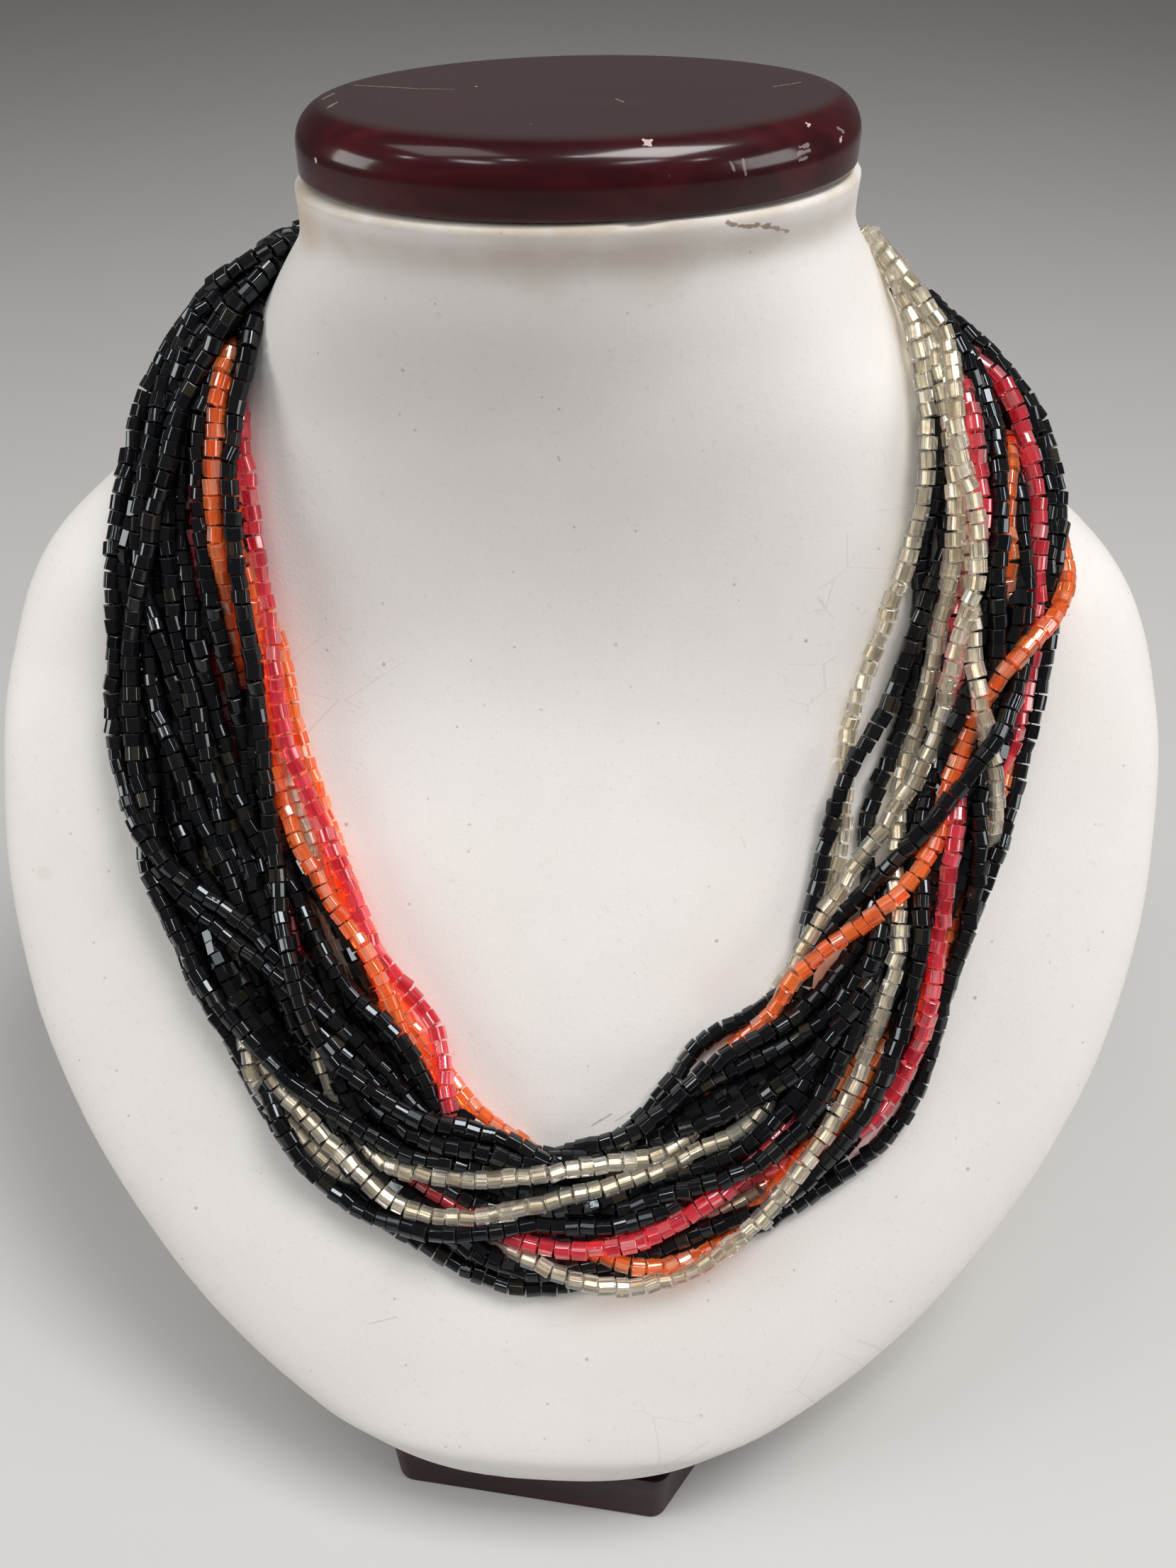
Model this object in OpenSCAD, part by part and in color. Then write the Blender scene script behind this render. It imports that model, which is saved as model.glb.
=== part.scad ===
// Twisted necklace of many bead strands on a covered neck bust with a lacquered cap and foot.
// Millimetres, +Z up, the front faces -Y. The origin is on the floor under the middle of the whole.

/* [Bust] */
// Width of the bust across the chest
bust_w = 202; // [190:1:214]
// Height of the bust's underside above the floor
bust_floor = 17; // [15:0.5:19]
// How far the whole stands behind the origin, so that it is centred front to back
stand_back = -0.4; // [-6:0.1:6]
// Points round the bust's outline
bust_sides = 64; // [48:4:72]

/* [Cap] */
// Width of the oval cap
cap_w = 80.4; // [76:0.2:84]
// Depth of the oval cap, front to back
cap_d = 50.8; // [48:0.2:54]
// Thickness of the cap
cap_h = 9.4; // [8:0.2:14]
// Radius of the cap's rounded upper edge
cap_round = 5.4; // [3:0.2:6]
// Radius of the cap's rounded lower edge
cap_under = 1.8; // [1:0.2:3]
// How far the cap is turned about the vertical, with the neck under it, its left end to the front
cap_turn = 12; // [0:0.5:14]

/* [Foot] */
// Width of the foot's front face
foot_front_w = 47.7; // [40:0.1:60]
// Width of the foot at its middle
foot_w = 74.2; // [64:0.1:90]
// Depth of the foot, front to back
foot_d = 108; // [96:1:116]
// Angle between the front face's normal and each splayed side
foot_splay = 30; // [20:1:40]
// How far the foot is turned about the vertical, clockwise from above
foot_turn = 5.3; // [0:0.1:10]
// Radius of the foot's upright edges
foot_round = 3; // [1:0.5:5]

/* [Necklace] */
// Area of all strands together where they are cut across
strand_area = 190; // [160:5:200]
// Greatest thickness of the bundle behind the neck
bundle_most = 12; // [9:0.5:12.5]
// Clear gap between two ropes, and between a rope and the bust
rope_gap = 0.8; // [0.5:0.1:0.8]
// Rings along each rope
rope_rings = 72; // [60:1:80]

/* [Clasp] */
// Length of the clasp with its two bell ends
clasp_len = 32; // [28:1:34]
// Diameter of the bell ends
clasp_bell = 13; // [12:0.2:13.6]
// Diameter of the barrel between them
clasp_barrel = 8.4; // [6:0.2:10]

/* [Hidden] */

// Gap that keeps two pieces apart where one sits on the other
seat = 0.2;
// The chest's middle above the floor, where the section heights are counted from
chest_z = bust_floor + 97;

// Columns of the bust's sections
HEIGHT = 0;
HALF_W = 1;
FRONT = 2;
WIDEST = 3;
BACK = 4;
FRONT_POWER = 5;
BACK_POWER = 6;

// Level sections of the bust: height from the chest's middle, half width, front, line of
// greatest width, back, and the powers of the front and back curves (2 is an ellipse)
SECTIONS = [
    [-97.0, 24.0, -64.5, -50.0, 44.0, 2.3, 2.2],
    [-94.5, 30.0, -72.5, -54.0, 46.0, 2.4, 2.2],
    [-91.0, 35.0, -75.8, -58.0, 48.0, 2.5, 2.2],
    [-86.0, 42.0, -75.4, -58.0, 50.0, 2.5, 2.2],
    [-78.0, 56.5, -69.0, -53.0, 54.0, 2.5, 2.1],
    [-65.0, 72.5, -57.6, -42.5, 58.0, 2.5, 2.0],
    [-50.0, 85.5, -44.3, -30.0, 61.0, 2.5, 2.0],
    [-33.0, 95.0, -29.2, -15.5, 63.5, 2.5, 2.0],
    [-15.0, 100.0, -13.6, 0.5, 64.5, 2.5, 2.0],
    [0.0, 101.0, -1.5, 13.5, 64.5, 2.4, 2.1],
    [12.0, 99.0, 5.6, 24.0, 64.5, 2.3, 2.2],
    [24.0, 93.5, 9.8, 31.0, 64.5, 2.2, 2.3],
    [36.0, 80.0, 12.0, 36.0, 64.5, 2.1, 2.3],
    [46.0, 66.8, 13.0, 38.5, 64.5, 2.05, 2.2],
    [56.0, 57.0, 13.3, 39.0, 64.3, 2.0, 2.1],
    [66.0, 49.3, 12.9, 38.4, 63.9, 2.0, 2.0],
    [74.0, 44.4, 12.2, 37.2, 62.7, 2.0, 2.0],
    [80.0, 41.1, 12.2, 36.2, 60.9, 2.0, 2.0],
    [83.6, 41.0, 11.0, 36.0, 61.3, 2.0, 2.0],
    [86.1, 41.1, 10.4, 36.0, 61.6, 2.0, 2.0],
    [87.0, 40.6, 10.8, 36.0, 61.2, 2.0, 2.0]
];
// Heights between which the neck turns with the cap
TURN_FROM = 52;
TURN_TO = 84;
drawn_w = 202;
rim_z = SECTIONS[len(SECTIONS) - 1][HEIGHT];
// Line of the neck's middle, about which it turns
neck_y = stand_back + SECTIONS[len(SECTIONS) - 1][WIDEST];

// Edges of the band of strands on the bust, from the clasp round the left side and back: turn of
// the inner edge, its height, turn and height of the outer edge. A turn is 0 at the front and
// 180 behind, negative on the left.
IN_TURN = 0;
IN_HEIGHT = 1;
OUT_TURN = 2;
OUT_HEIGHT = 3;
BAND = [
    [-158, 77.5, -158, 65.5],
    [-138, 78, -138, 64],
    [-116, 76, -118, 60],
    [-98, 72, -106, 55],
    [-84, 65, -96, 50],
    [-69, 58, -84, 44],
    [-50, 45, -68, 36],
    [-33, 27, -56, 23],
    [-25, 10, -50, 10],
    [-20, -5, -46, -3],
    [-15, -18, -41, -16],
    [-11, -29, -34, -30],
    [-6, -40, -26, -46],
    [-1, -46, -15, -58],
    [3, -45, -1, -65],
    [7, -39, 12, -61],
    [12, -30, 24, -51],
    [17, -20, 34, -40],
    [21, -8, 38, -25],
    [23, 4, 41, -8],
    [27, 18, 47, 7],
    [37, 33, 56, 22],
    [54, 46, 68, 34],
    [72, 58, 83, 44],
    [86, 66, 96, 49],
    [99, 73, 106, 56],
    [116, 77, 118, 61],
    [138, 79, 138, 64],
    [158, 77.5, 158, 65.5]
];

// Shape-keeping cubic through one column of a table whose key column rises
function rise(t, k, i, key) = (t[i + 1][k] - t[i][k]) / key_step(t, i, key);
function key_step(t, i, key) = key < 0 ? 1 : t[i + 1][key] - t[i][key];
function bend(before, after, step_before, step_after) =
    before * after <= 0 ? 0
    : 3 * (step_before + step_after)
        / ((2 * step_after + step_before) / before + (step_after + 2 * step_before) / after);
function tangent(t, k, i, key) =
    i == 0 ? rise(t, k, 0, key)
    : i == len(t) - 1 ? rise(t, k, i - 1, key)
    : bend(rise(t, k, i - 1, key), rise(t, k, i, key), key_step(t, i - 1, key), key_step(t, i, key));
function cubic(a, b, ta, tb, h, u) =
    a * (2 * u * u * u - 3 * u * u + 1) + ta * h * (u * u * u - 2 * u * u + u)
    + b * (3 * u * u - 2 * u * u * u) + tb * h * (u * u * u - u * u);

// Row before a key value; a table without a key column is counted by its row numbers
function row_at(t, v, key, i = 0) =
    i >= len(t) - 2 || v < (key < 0 ? i + 1 : t[i + 1][key]) ? i : row_at(t, v, key, i + 1);
function look_up(t, k, v, key) =
    let (i = row_at(t, v, key),
         h = key_step(t, i, key),
         u = (v - (key < 0 ? i : t[i][key])) / h)
    cubic(t[i][k], t[i + 1][k], tangent(t, k, i, key), tangent(t, k, i + 1, key), h, u);

// One section of the bust as its seven values, at a height from the chest's middle
function section(z) = [for (k = [HEIGHT:BACK_POWER]) k == HEIGHT ? z : look_up(SECTIONS, k, z, HEIGHT)];

// Turn of the neck at a height, and a point turned about the upright line through the neck's middle
function neck_turn(z) =
    let (u = min(1, max(0, (z - TURN_FROM) / (TURN_TO - TURN_FROM)))) cap_turn * u * u * (3 - 2 * u);
function turned(p, angle) =
    let (y = p.y - neck_y)
    [p.x * cos(angle) - y * sin(angle), neck_y + p.x * sin(angle) + y * cos(angle), p.z];

// Point of a section at a turn about the vertical
function signed_power(v, p) = sign(v) * pow(abs(v), 2 / p);
function on_section(s, turn) =
    let (c = cos(turn), p = c > 0 ? s[FRONT_POWER] : s[BACK_POWER])
    turned([
        s[HALF_W] * bust_w / drawn_w * signed_power(sin(turn), p),
        stand_back + s[WIDEST] + (c > 0 ? s[FRONT] - s[WIDEST] : s[WIDEST] - s[BACK]) * signed_power(c, p),
        chest_z + s[HEIGHT]
    ], neck_turn(s[HEIGHT]));
function on_bust(turn, z) = on_section(section(z), turn);

function unit(v) = v / norm(v);
nudge = 0.6;
function outward(turn, z) =
    unit(cross(on_bust(turn + nudge, z) - on_bust(turn - nudge, z),
               on_bust(turn, z + nudge) - on_bust(turn, z - nudge)));

// Closed skin over rings of equal length, with a flat face at each end
module skin(rings) {
    sides = len(rings[0]);
    last = len(rings) - 1;
    points = [for (ring = rings) for (p = ring) p];
    faces = [
        [for (j = [0:sides - 1]) j],
        for (i = [0:last - 1]) for (j = [0:sides - 1])
            let (a = i * sides + j, b = i * sides + (j + 1) % sides)
            each [[a, a + sides, b], [b, a + sides, b + sides]],
        [for (j = [sides - 1:-1:0]) last * sides + j]
    ];
    polyhedron(points, faces, convexity = 8);
}

// Heights of the bust's rings: close together at the rounded lower edge and at the lipped rim
BUST_LEVELS = concat([for (z = [-97:1.25:-84.5]) z], [for (z = [-81:4:75]) z], [for (z = [77:1.4:84]) z],
                     [85.2, 86.1, rim_z]);

module neck_bust() {
    color("ivory")
        skin([for (z = BUST_LEVELS) let (s = section(z)) [
            for (j = [0:bust_sides - 1]) on_section(s, -360 * j / bust_sides)
        ]]);
}

// The cap's edge, from its underside up over the two roundings: how far in, and how high
cap_steps = 6;
CAP_EDGE = concat(
    [for (i = [0:cap_steps]) let (a = 90 * i / cap_steps)
        [cap_under * (1 - sin(a)), cap_under * (1 - cos(a))]],
    [for (i = [0:cap_steps]) let (a = 90 * i / cap_steps)
        [cap_round * (1 - cos(a)), cap_h - cap_round + cap_round * sin(a)]]
);
cap_sides = 60;

module bust_cap() {
    color("maroon")
        translate([0, neck_y, chest_z + rim_z + seat]) rotate([0, 0, cap_turn])
            skin([for (e = CAP_EDGE) [
                for (j = [0:cap_sides - 1]) let (a = -360 * j / cap_sides)
                    [-(cap_w / 2 - e[0]) * sin(a), -(cap_d / 2 - e[0]) * cos(a), e[1]]
            ]]);
}

// Outline of the foot with its corners cut back along the splay and then rounded
foot_front_y = -70.6;
foot_front_x = -3.3;
cut_side = (foot_w - foot_front_w) / 2;
cut_depth = cut_side / tan(foot_splay);
FOOT_CORNERS = [
    [foot_front_w / 2, 0],
    [foot_w / 2, cut_depth],
    [foot_w / 2, foot_d - cut_depth],
    [foot_front_w / 2, foot_d],
    [-foot_front_w / 2, foot_d],
    [-foot_w / 2, foot_d - cut_depth],
    [-foot_w / 2, cut_depth],
    [-foot_front_w / 2, 0]
];
corner_steps = 4;

// Arc that rounds corner q between its neighbours p and r
function rounded(p, q, r, radius) =
    let (a = unit(p - q),
         b = unit(r - q),
         half = acos(a * b) / 2,
         centre = q + unit(a + b) * radius / sin(half),
         from = q + a * radius / tan(half) - centre,
         to = q + b * radius / tan(half) - centre)
    [for (i = [0:corner_steps]) centre + radius * unit(from * (corner_steps - i) + to * i)];

function ring_item(list, i) = list[(i + len(list)) % len(list)];

module bust_foot() {
    outline = [for (i = [0:len(FOOT_CORNERS) - 1])
        each rounded(ring_item(FOOT_CORNERS, i - 1), FOOT_CORNERS[i], ring_item(FOOT_CORNERS, i + 1), foot_round)];
    color("maroon")
        translate([foot_front_x, stand_back + foot_front_y, 0])
            rotate([0, 0, -foot_turn])
                linear_extrude(bust_floor - seat)
                    polygon(outline);
}

// The strands are gathered in as many ropes, side by side in the band.
ropes = 5;

// The band at a place along it, as turn and height at a lane from 0 (inner) to 1 (outer)
function band_row(at) = [for (k = [IN_TURN:OUT_HEIGHT]) look_up(BAND, k, at, -1)];
function lane_turn(row, lane) = row[IN_TURN] + lane * (row[OUT_TURN] - row[IN_TURN]);
function lane_height(row, lane) = row[IN_HEIGHT] + lane * (row[OUT_HEIGHT] - row[IN_HEIGHT]);
function in_lane(row, lane) = on_bust(lane_turn(row, lane), lane_height(row, lane));

// One ring of a rope: a flattened round whose width fills its lane and whose thickness follows
// from the area of the strands. Its corners stand a little outside of the round that they mean.
rope_sides = 8;
corner_out = 1.04;
function rope_ring(k, at) =
    let (row = band_row(at),
         lane = (k - 0.5) / ropes,
         low = in_lane(row, lane - 0.5 / ropes),
         high = in_lane(row, lane + 0.5 / ropes),
         across = unit(high - low),
         up = unit(outward(lane_turn(row, lane), lane_height(row, lane))),
         up_square = unit(up - across * (up * across)),
         band_w = norm(in_lane(row, 1) - in_lane(row, 0)),
         thick = min(bundle_most, strand_area / band_w),
         half_w = (norm(high - low) - rope_gap) / 2,
         middle = in_lane(row, lane) + up_square * (rope_gap + thick / 2))
    [for (j = [0:rope_sides - 1]) let (a = 360 * (j + 0.5) / rope_sides)
        middle + across * half_w * corner_out * cos(a) + up_square * thick / 2 * corner_out * sin(a)];

// A rope's first and last ring lie flat against the clasp's ends
rope_end_gap = 0.3;
function flat_end(ring, side) = [for (p = ring) let (q = turned(p, -clasp_turn))
    turned([side * (clasp_len / 2 + rope_end_gap), q.y, q.z], clasp_turn)];

module strand_rope(k) {
    last = len(BAND) - 1;
    color(k == 1 ? "orangered" : k == 3 ? "dimgray" : "black")
        skin([
            flat_end(rope_ring(k, 0), -1),
            for (i = [1:rope_rings - 2]) rope_ring(k, last * i / (rope_rings - 1)),
            flat_end(rope_ring(k, last), 1)
        ]);
}

// One plain closing behind the neck: a barrel between two bell ends that hold the strands, with
// the bells close to the neck where the band starts
clasp_rim = 2;
clasp_z = 71.5;
clasp_gap = 1.2;
clasp_turn = neck_turn(clasp_z);
clasp_back = turned(on_bust(BAND[0][IN_TURN], clasp_z), -clasp_turn).y + clasp_gap + clasp_bell / 2 - neck_y;

module clasp() {
    half = clasp_len / 2;
    color("goldenrod")
        translate([0, neck_y, chest_z + clasp_z])
            rotate([0, 0, clasp_turn]) translate([0, clasp_back, 0]) rotate([0, 90, 0])
                rotate_extrude($fn = 48)
                    polygon([
                        [0, -half], [clasp_bell / 2, -half], [clasp_bell / 2, -half + clasp_rim],
                        [clasp_barrel / 2, -half / 3], [clasp_barrel / 2, half / 3],
                        [clasp_bell / 2, half - clasp_rim], [clasp_bell / 2, half], [0, half]
                    ]);
}

neck_bust();
bust_cap();
bust_foot();
clasp();
strand_rope(1);  // strand_rope_1
strand_rope(2);  // strand_rope_2
strand_rope(3);  // strand_rope_3
strand_rope(4);  // strand_rope_4
strand_rope(5);  // strand_rope_5
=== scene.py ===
# %% [markdown]
# # A twisted necklace of glass tube beads on a display neck
#
# The real thing is about thirty strands of small cut glass tubes, black, red, orange and clear,
# that leave one clasp behind the neck and lie twisted together on a pale covered neck bust with a
# lacquered wooden cap and foot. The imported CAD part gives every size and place. Here each of its
# plain solids gets a finished piece: smooth skins for the bust, cap and foot, and for the plain
# ropes the single beads, their linings and their threads.

# %% Load the fixed frame
import math

import bmesh
import bpy
import numpy as np
from mathutils import Matrix, Vector
from mathutils.bvhtree import BVHTree
from mathutils.kdtree import KDTree


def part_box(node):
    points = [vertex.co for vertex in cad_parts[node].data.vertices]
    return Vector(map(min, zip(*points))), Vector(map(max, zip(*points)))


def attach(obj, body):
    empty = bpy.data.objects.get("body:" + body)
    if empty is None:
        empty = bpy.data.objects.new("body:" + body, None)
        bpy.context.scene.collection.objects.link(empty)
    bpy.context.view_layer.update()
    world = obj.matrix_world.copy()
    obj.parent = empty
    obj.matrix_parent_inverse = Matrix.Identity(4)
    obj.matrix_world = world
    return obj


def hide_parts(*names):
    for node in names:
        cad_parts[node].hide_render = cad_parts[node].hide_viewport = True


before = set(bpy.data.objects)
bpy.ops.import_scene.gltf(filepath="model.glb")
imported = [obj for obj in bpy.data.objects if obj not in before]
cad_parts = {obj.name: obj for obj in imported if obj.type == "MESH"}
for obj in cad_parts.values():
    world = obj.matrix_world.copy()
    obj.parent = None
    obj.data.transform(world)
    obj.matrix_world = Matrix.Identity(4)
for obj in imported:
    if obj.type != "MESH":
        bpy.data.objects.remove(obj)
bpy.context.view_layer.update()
MM = 0.001
ROPES = [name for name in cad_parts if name.startswith("strand_rope")]

# %% [markdown]
# ## The camera
#
# The photograph was taken from close in front and above, so the cap looks large and the foot
# small. A camera that is fitted to the outlines of the cap, the chest and the foot has to be
# there first, because the strands are placed along its sight lines. Its long side of 36 mm and
# the focal length give the same field of view as the photograph.

# %% Camera
PHOTO_W, PHOTO_H = 1659, 2212
FOCAL_PX = 1850
LOOKS_DOWN, TURNED, ROLLED = math.radians(41.5), math.radians(2.45), math.radians(0.55)
AIM = Vector((3.14, -0.4, 114.2)) * MM
AWAY = 219 * MM
FILM = 36

ahead = Vector((0, math.cos(LOOKS_DOWN), -math.sin(LOOKS_DOWN)))
upward = Vector((0, math.sin(LOOKS_DOWN), math.cos(LOOKS_DOWN)))
sideways = Vector((1, 0, 0))
for axis in (ahead, upward, sideways):
    axis.rotate(Matrix.Rotation(TURNED, 3, "Z"))
sideways, upward = (math.cos(ROLLED) * sideways + math.sin(ROLLED) * upward,
                    math.cos(ROLLED) * upward - math.sin(ROLLED) * sideways)
eye = AIM - AWAY * ahead

camera_data = bpy.data.cameras.new("photo_camera")
camera_data.sensor_width = FILM
camera_data.lens = FOCAL_PX / PHOTO_H * FILM
camera_data.clip_start = 0.01
camera = bpy.data.objects.new("photo_camera", camera_data)
bpy.context.scene.collection.objects.link(camera)
turned_camera = Matrix((sideways, upward, -ahead)).transposed().to_4x4()
camera.matrix_world = Matrix.Translation(eye) @ turned_camera
bpy.context.scene.camera = camera
print("camera at", [round(v / MM) for v in eye], "mm, lens", round(camera_data.lens, 2), "mm")


def sight_line(x, y):
    """Direction from the camera through a pixel of the photograph."""
    return (ahead * FOCAL_PX + sideways * (x - PHOTO_W / 2) - upward * (y - PHOTO_H / 2)).normalized()


# %% [markdown]
# ## Small helpers for modelling
#
# Operators act on whatever is selected, so each step first clears the selection and then picks
# faces, edges or points by their place.

# %% Selecting and editing
def pick(*objects):
    """Selects only these objects, the first one active."""
    bpy.ops.object.select_all(action="DESELECT")
    for obj in objects:
        obj.select_set(True)
    bpy.context.view_layer.objects.active = objects[0]


def select_parts(obj, kind, test):
    """In edit mode, selects the faces, edges or points that pass a test."""
    mesh = bmesh.from_edit_mesh(obj.data)
    for part in (*mesh.verts, *mesh.edges, *mesh.faces):
        part.select = False
    chosen = [part for part in getattr(mesh, kind) if test(part)]
    for part in chosen:
        part.select = True
    mesh.select_flush_mode()
    bmesh.update_edit_mesh(obj.data)
    return len(chosen)


def start_edit(obj, mode):
    pick(obj)
    bpy.ops.object.mode_set(mode="EDIT")
    bpy.ops.mesh.select_mode(type=mode)


def end_edit():
    bpy.ops.object.mode_set(mode="OBJECT")


def settle_place(obj):
    """Moves an object's place, turn and scale into its mesh."""
    pick(obj)
    bpy.ops.object.transform_apply(location=True, rotation=True, scale=True)


def apply_all(obj):
    pick(obj)
    for modifier in list(obj.modifiers):
        bpy.ops.object.modifier_apply(modifier=modifier.name)


def outward_normals(obj):
    start_edit(obj, "FACE")
    bpy.ops.mesh.select_all(action="SELECT")
    bpy.ops.mesh.remove_doubles(threshold=0.01 * MM)
    bpy.ops.mesh.normals_make_consistent(inside=False)
    end_edit()


def smooth_shade(obj, degrees):
    pick(obj)
    bpy.ops.object.shade_smooth_by_angle(angle=math.radians(degrees))


def level_normals(obj):
    """Keeps large flats flat beside small roundings, by weighting normals with face areas."""
    obj.modifiers.new("flats", "WEIGHTED_NORMAL").keep_sharp = True
    apply_all(obj)


def finished_copy(node, name):
    """A merged copy of a CAD node to shape further; the node itself is left alone."""
    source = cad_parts[node]
    copy = bpy.data.objects.new(name, source.data.copy())
    copy.data.materials.clear()
    bpy.context.scene.collection.objects.link(copy)
    outward_normals(copy)
    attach(copy, "root")
    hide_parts(node)
    return copy


# %% [markdown]
# ## The bust's skin
#
# The bust is a padded form covered in a thin pale leather cloth, smooth from the lipped rim down
# to the rounded chest. The CAD solid has the right shape but flat facets, so a copy of it is
# merged, its triangles are joined to quads, and a subdivision surface rounds it. A surface that
# is drawn from sections like this could also be lofted again here, but the copy can't drift from
# the frame.

# %% Bust
bust = finished_copy("neck_bust", "bust_skin")
start_edit(bust, "FACE")
bpy.ops.mesh.select_all(action="SELECT")
bpy.ops.mesh.tris_convert_to_quads(face_threshold=math.radians(60), shape_threshold=math.radians(60))
end_edit()
bust.modifiers.new("round", "SUBSURF").levels = 1
bust.modifiers["round"].render_levels = 1
apply_all(bust)
smooth_shade(bust, 50)
bust_tree = BVHTree.FromObject(bust, bpy.context.evaluated_depsgraph_get())
print("bust skin:", len(bust.data.polygons), "faces")

# %% [markdown]
# ## The routes of the strands
#
# Every strand that can be followed in the photograph has its own route. A station is a pixel of
# the photograph, x,y, and a level where that changes: 0 is against the bust, 3 lies on top of the
# others. A blank line stands between two strands. The routes start at the left of the neck, go
# round the lowest point and end at the right of the neck, where the strands go out of sight.
# Strands that only show here and there get lanes between the edges of the band, after this.

# %% Routes in the photograph
def numbers(group):
    return tuple(int(v) for v in group.split(","))


def routes(text):
    """Stations of each strand; one without a level keeps the level of the station before it."""
    found = []
    for paragraph in text.strip().split("\n\n"):
        stations = []
        for group in paragraph.split():
            x, y, *level = numbers(group)
            stations.append((x, y, level[0] if level else stations[-1][2]))
        found.append(stations)
    return found


RED_ROUTES = routes("""
334,540,0 328,580 337,610,1 343,650 352,708,2 360,750 365,796 373,850 380,900 388,973 396,1010 404,1051 420,1095
437,1128 455,1165 476,1206 490,1240 503,1272 512,1310 525,1344,1 545,1368 570,1392 603,1426 618,1444 627,1486
629,1528 632,1575 645,1610,0 700,1735 760,1738 800,1742 850,1742 890,1735,1 925,1722 950,1710 985,1697
1060,1650,0 1150,1620 1213,1600,1 1225,1590 1240,1575,2 1255,1555 1268,1532 1280,1510 1293,1482 1302,1460
1309,1442 1314,1420 1318,1390 1320,1360 1323,1330 1326,1305 1332,1280 1337,1255 1340,1230 1343,1205 1347,1175
1352,1150 1355,1130,1 1350,1110,0 1345,1080 1345,1040,1 1352,1010 1356,965 1354,930 1350,880,0 1352,840 1370,800
1388,760,1 1391,728,2 1387,702 1380,671 1380,633 1374,594 1365,555,1 1350,510,0

285,560,0 278,640 275,720 276,780 280,820,1 283,860 290,890 300,930,0 320,1000 345,1080 371,1135 384,1200
394,1262 406,1298,1 413,1328 408,1352,0 412,1380 420,1412 430,1450 460,1500 505,1562 530,1585 555,1620
575,1665,1 600,1675 625,1685 650,1697 672,1712 695,1735 718,1750,2 745,1757 775,1760 800,1765 830,1769 855,1767
880,1760 905,1752 930,1742 950,1727 970,1715 990,1700 1010,1690,1 1030,1680 1045,1660,0 1055,1640,1 1075,1622
1095,1600 1115,1580 1135,1555 1150,1530 1158,1505 1170,1470,0 1190,1420 1230,1340 1280,1260 1330,1200 1390,1120
1420,1060,1 1432,1030,2 1437,1010 1443,990 1448,970 1450,950 1455,926 1458,905 1462,885,1 1463,860,2 1463,846
1462,800 1463,767 1465,728 1465,700 1460,682 1452,652 1447,625,3 1442,600 1438,575 1429,550 1404,525 1383,507
1366,484,2 1352,492,0 1340,498
""")
ORANGE_ROUTES = routes("""
335,458,1 325,480 315,505 312,530,2 308,560 303,590 303,620 300,650 300,680 300,710,1 302,745 308,790 313,810,2
318,830,1 323,860 328,896 333,930 342,960 350,1000,0 362,1040 378,1070,1 391,1091 395,1120,2 405,1144 415,1175
427,1200 440,1225 452,1250 468,1275 480,1292 495,1312 510,1330 522,1350 535,1370 545,1395,1 550,1420 560,1440
572,1460 582,1480 600,1505 612,1530 625,1560,0 650,1595 680,1612 722,1623 790,1700 835,1765 855,1785,1
875,1783,2 895,1790 915,1793 940,1790 965,1783 985,1775,1 1005,1762 1020,1748 1040,1738 1055,1722 1075,1700,0
1085,1680,1 1110,1650 1130,1640 1150,1615 1165,1590 1185,1575 1200,1565 1240,1500,0 1280,1440 1298,1420,1
1305,1395,0 1320,1350 1340,1335,1 1345,1310 1350,1285 1355,1260 1358,1235 1362,1210 1365,1185 1366,1160
1390,1130,0 1413,1105,1 1418,1075 1417,1045 1405,1010,0 1415,960 1425,915 1425,880,1 1425,850 1423,820 1421,790
1420,760 1419,730 1420,705 1418,680 1420,655 1418,630 1412,600 1407,575 1400,550 1393,530,0 1370,500

325,560,0 318,640 325,720 340,800 360,850 383,882 392,900,1 397,920 405,950 408,975 412,1005 420,1035 428,1060
438,1095 445,1120 456,1140,2 460,1160,1 470,1190,0 480,1230 490,1290 520,1340 545,1385 555,1405,1 562,1425
572,1445 585,1465 600,1485 615,1505,0 640,1530 652,1545,1 665,1565 680,1580 700,1600,0 720,1620 760,1650
820,1670 940,1600 1010,1520 1040,1470 1062,1452,1 1082,1440 1100,1428 1107,1392,2 1120,1375,3 1137,1360
1155,1347 1172,1335 1190,1320 1207,1309 1225,1300 1243,1287 1262,1272 1275,1258 1288,1243 1302,1222 1315,1205
1325,1190 1330,1172 1332,1150,2 1330,1130,1 1335,1110 1345,1090,2 1355,1070 1362,1045 1367,1020 1375,1000,1
1390,988,2 1402,972 1413,950 1425,930,3 1438,915 1452,903 1467,895 1480,882 1493,868 1503,850,2 1509,830
1508,810 1503,795 1497,780,1 1490,750,0 1470,690 1445,620 1410,560 1375,510

318,520,0 306,600 310,680 325,740 338,780 352,820,1 360,880 365,930 372,985 385,1030 392,1065 405,1110,0
430,1160 455,1200 470,1240,1 490,1275,0 500,1310 525,1360 550,1410 580,1460 600,1500 620,1540 680,1620 760,1690
860,1730 960,1710 1060,1650 1160,1540 1240,1430 1300,1330 1345,1230 1380,1130 1400,1030 1420,930 1430,830
1430,740 1420,660 1400,590 1360,520
""")
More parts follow.
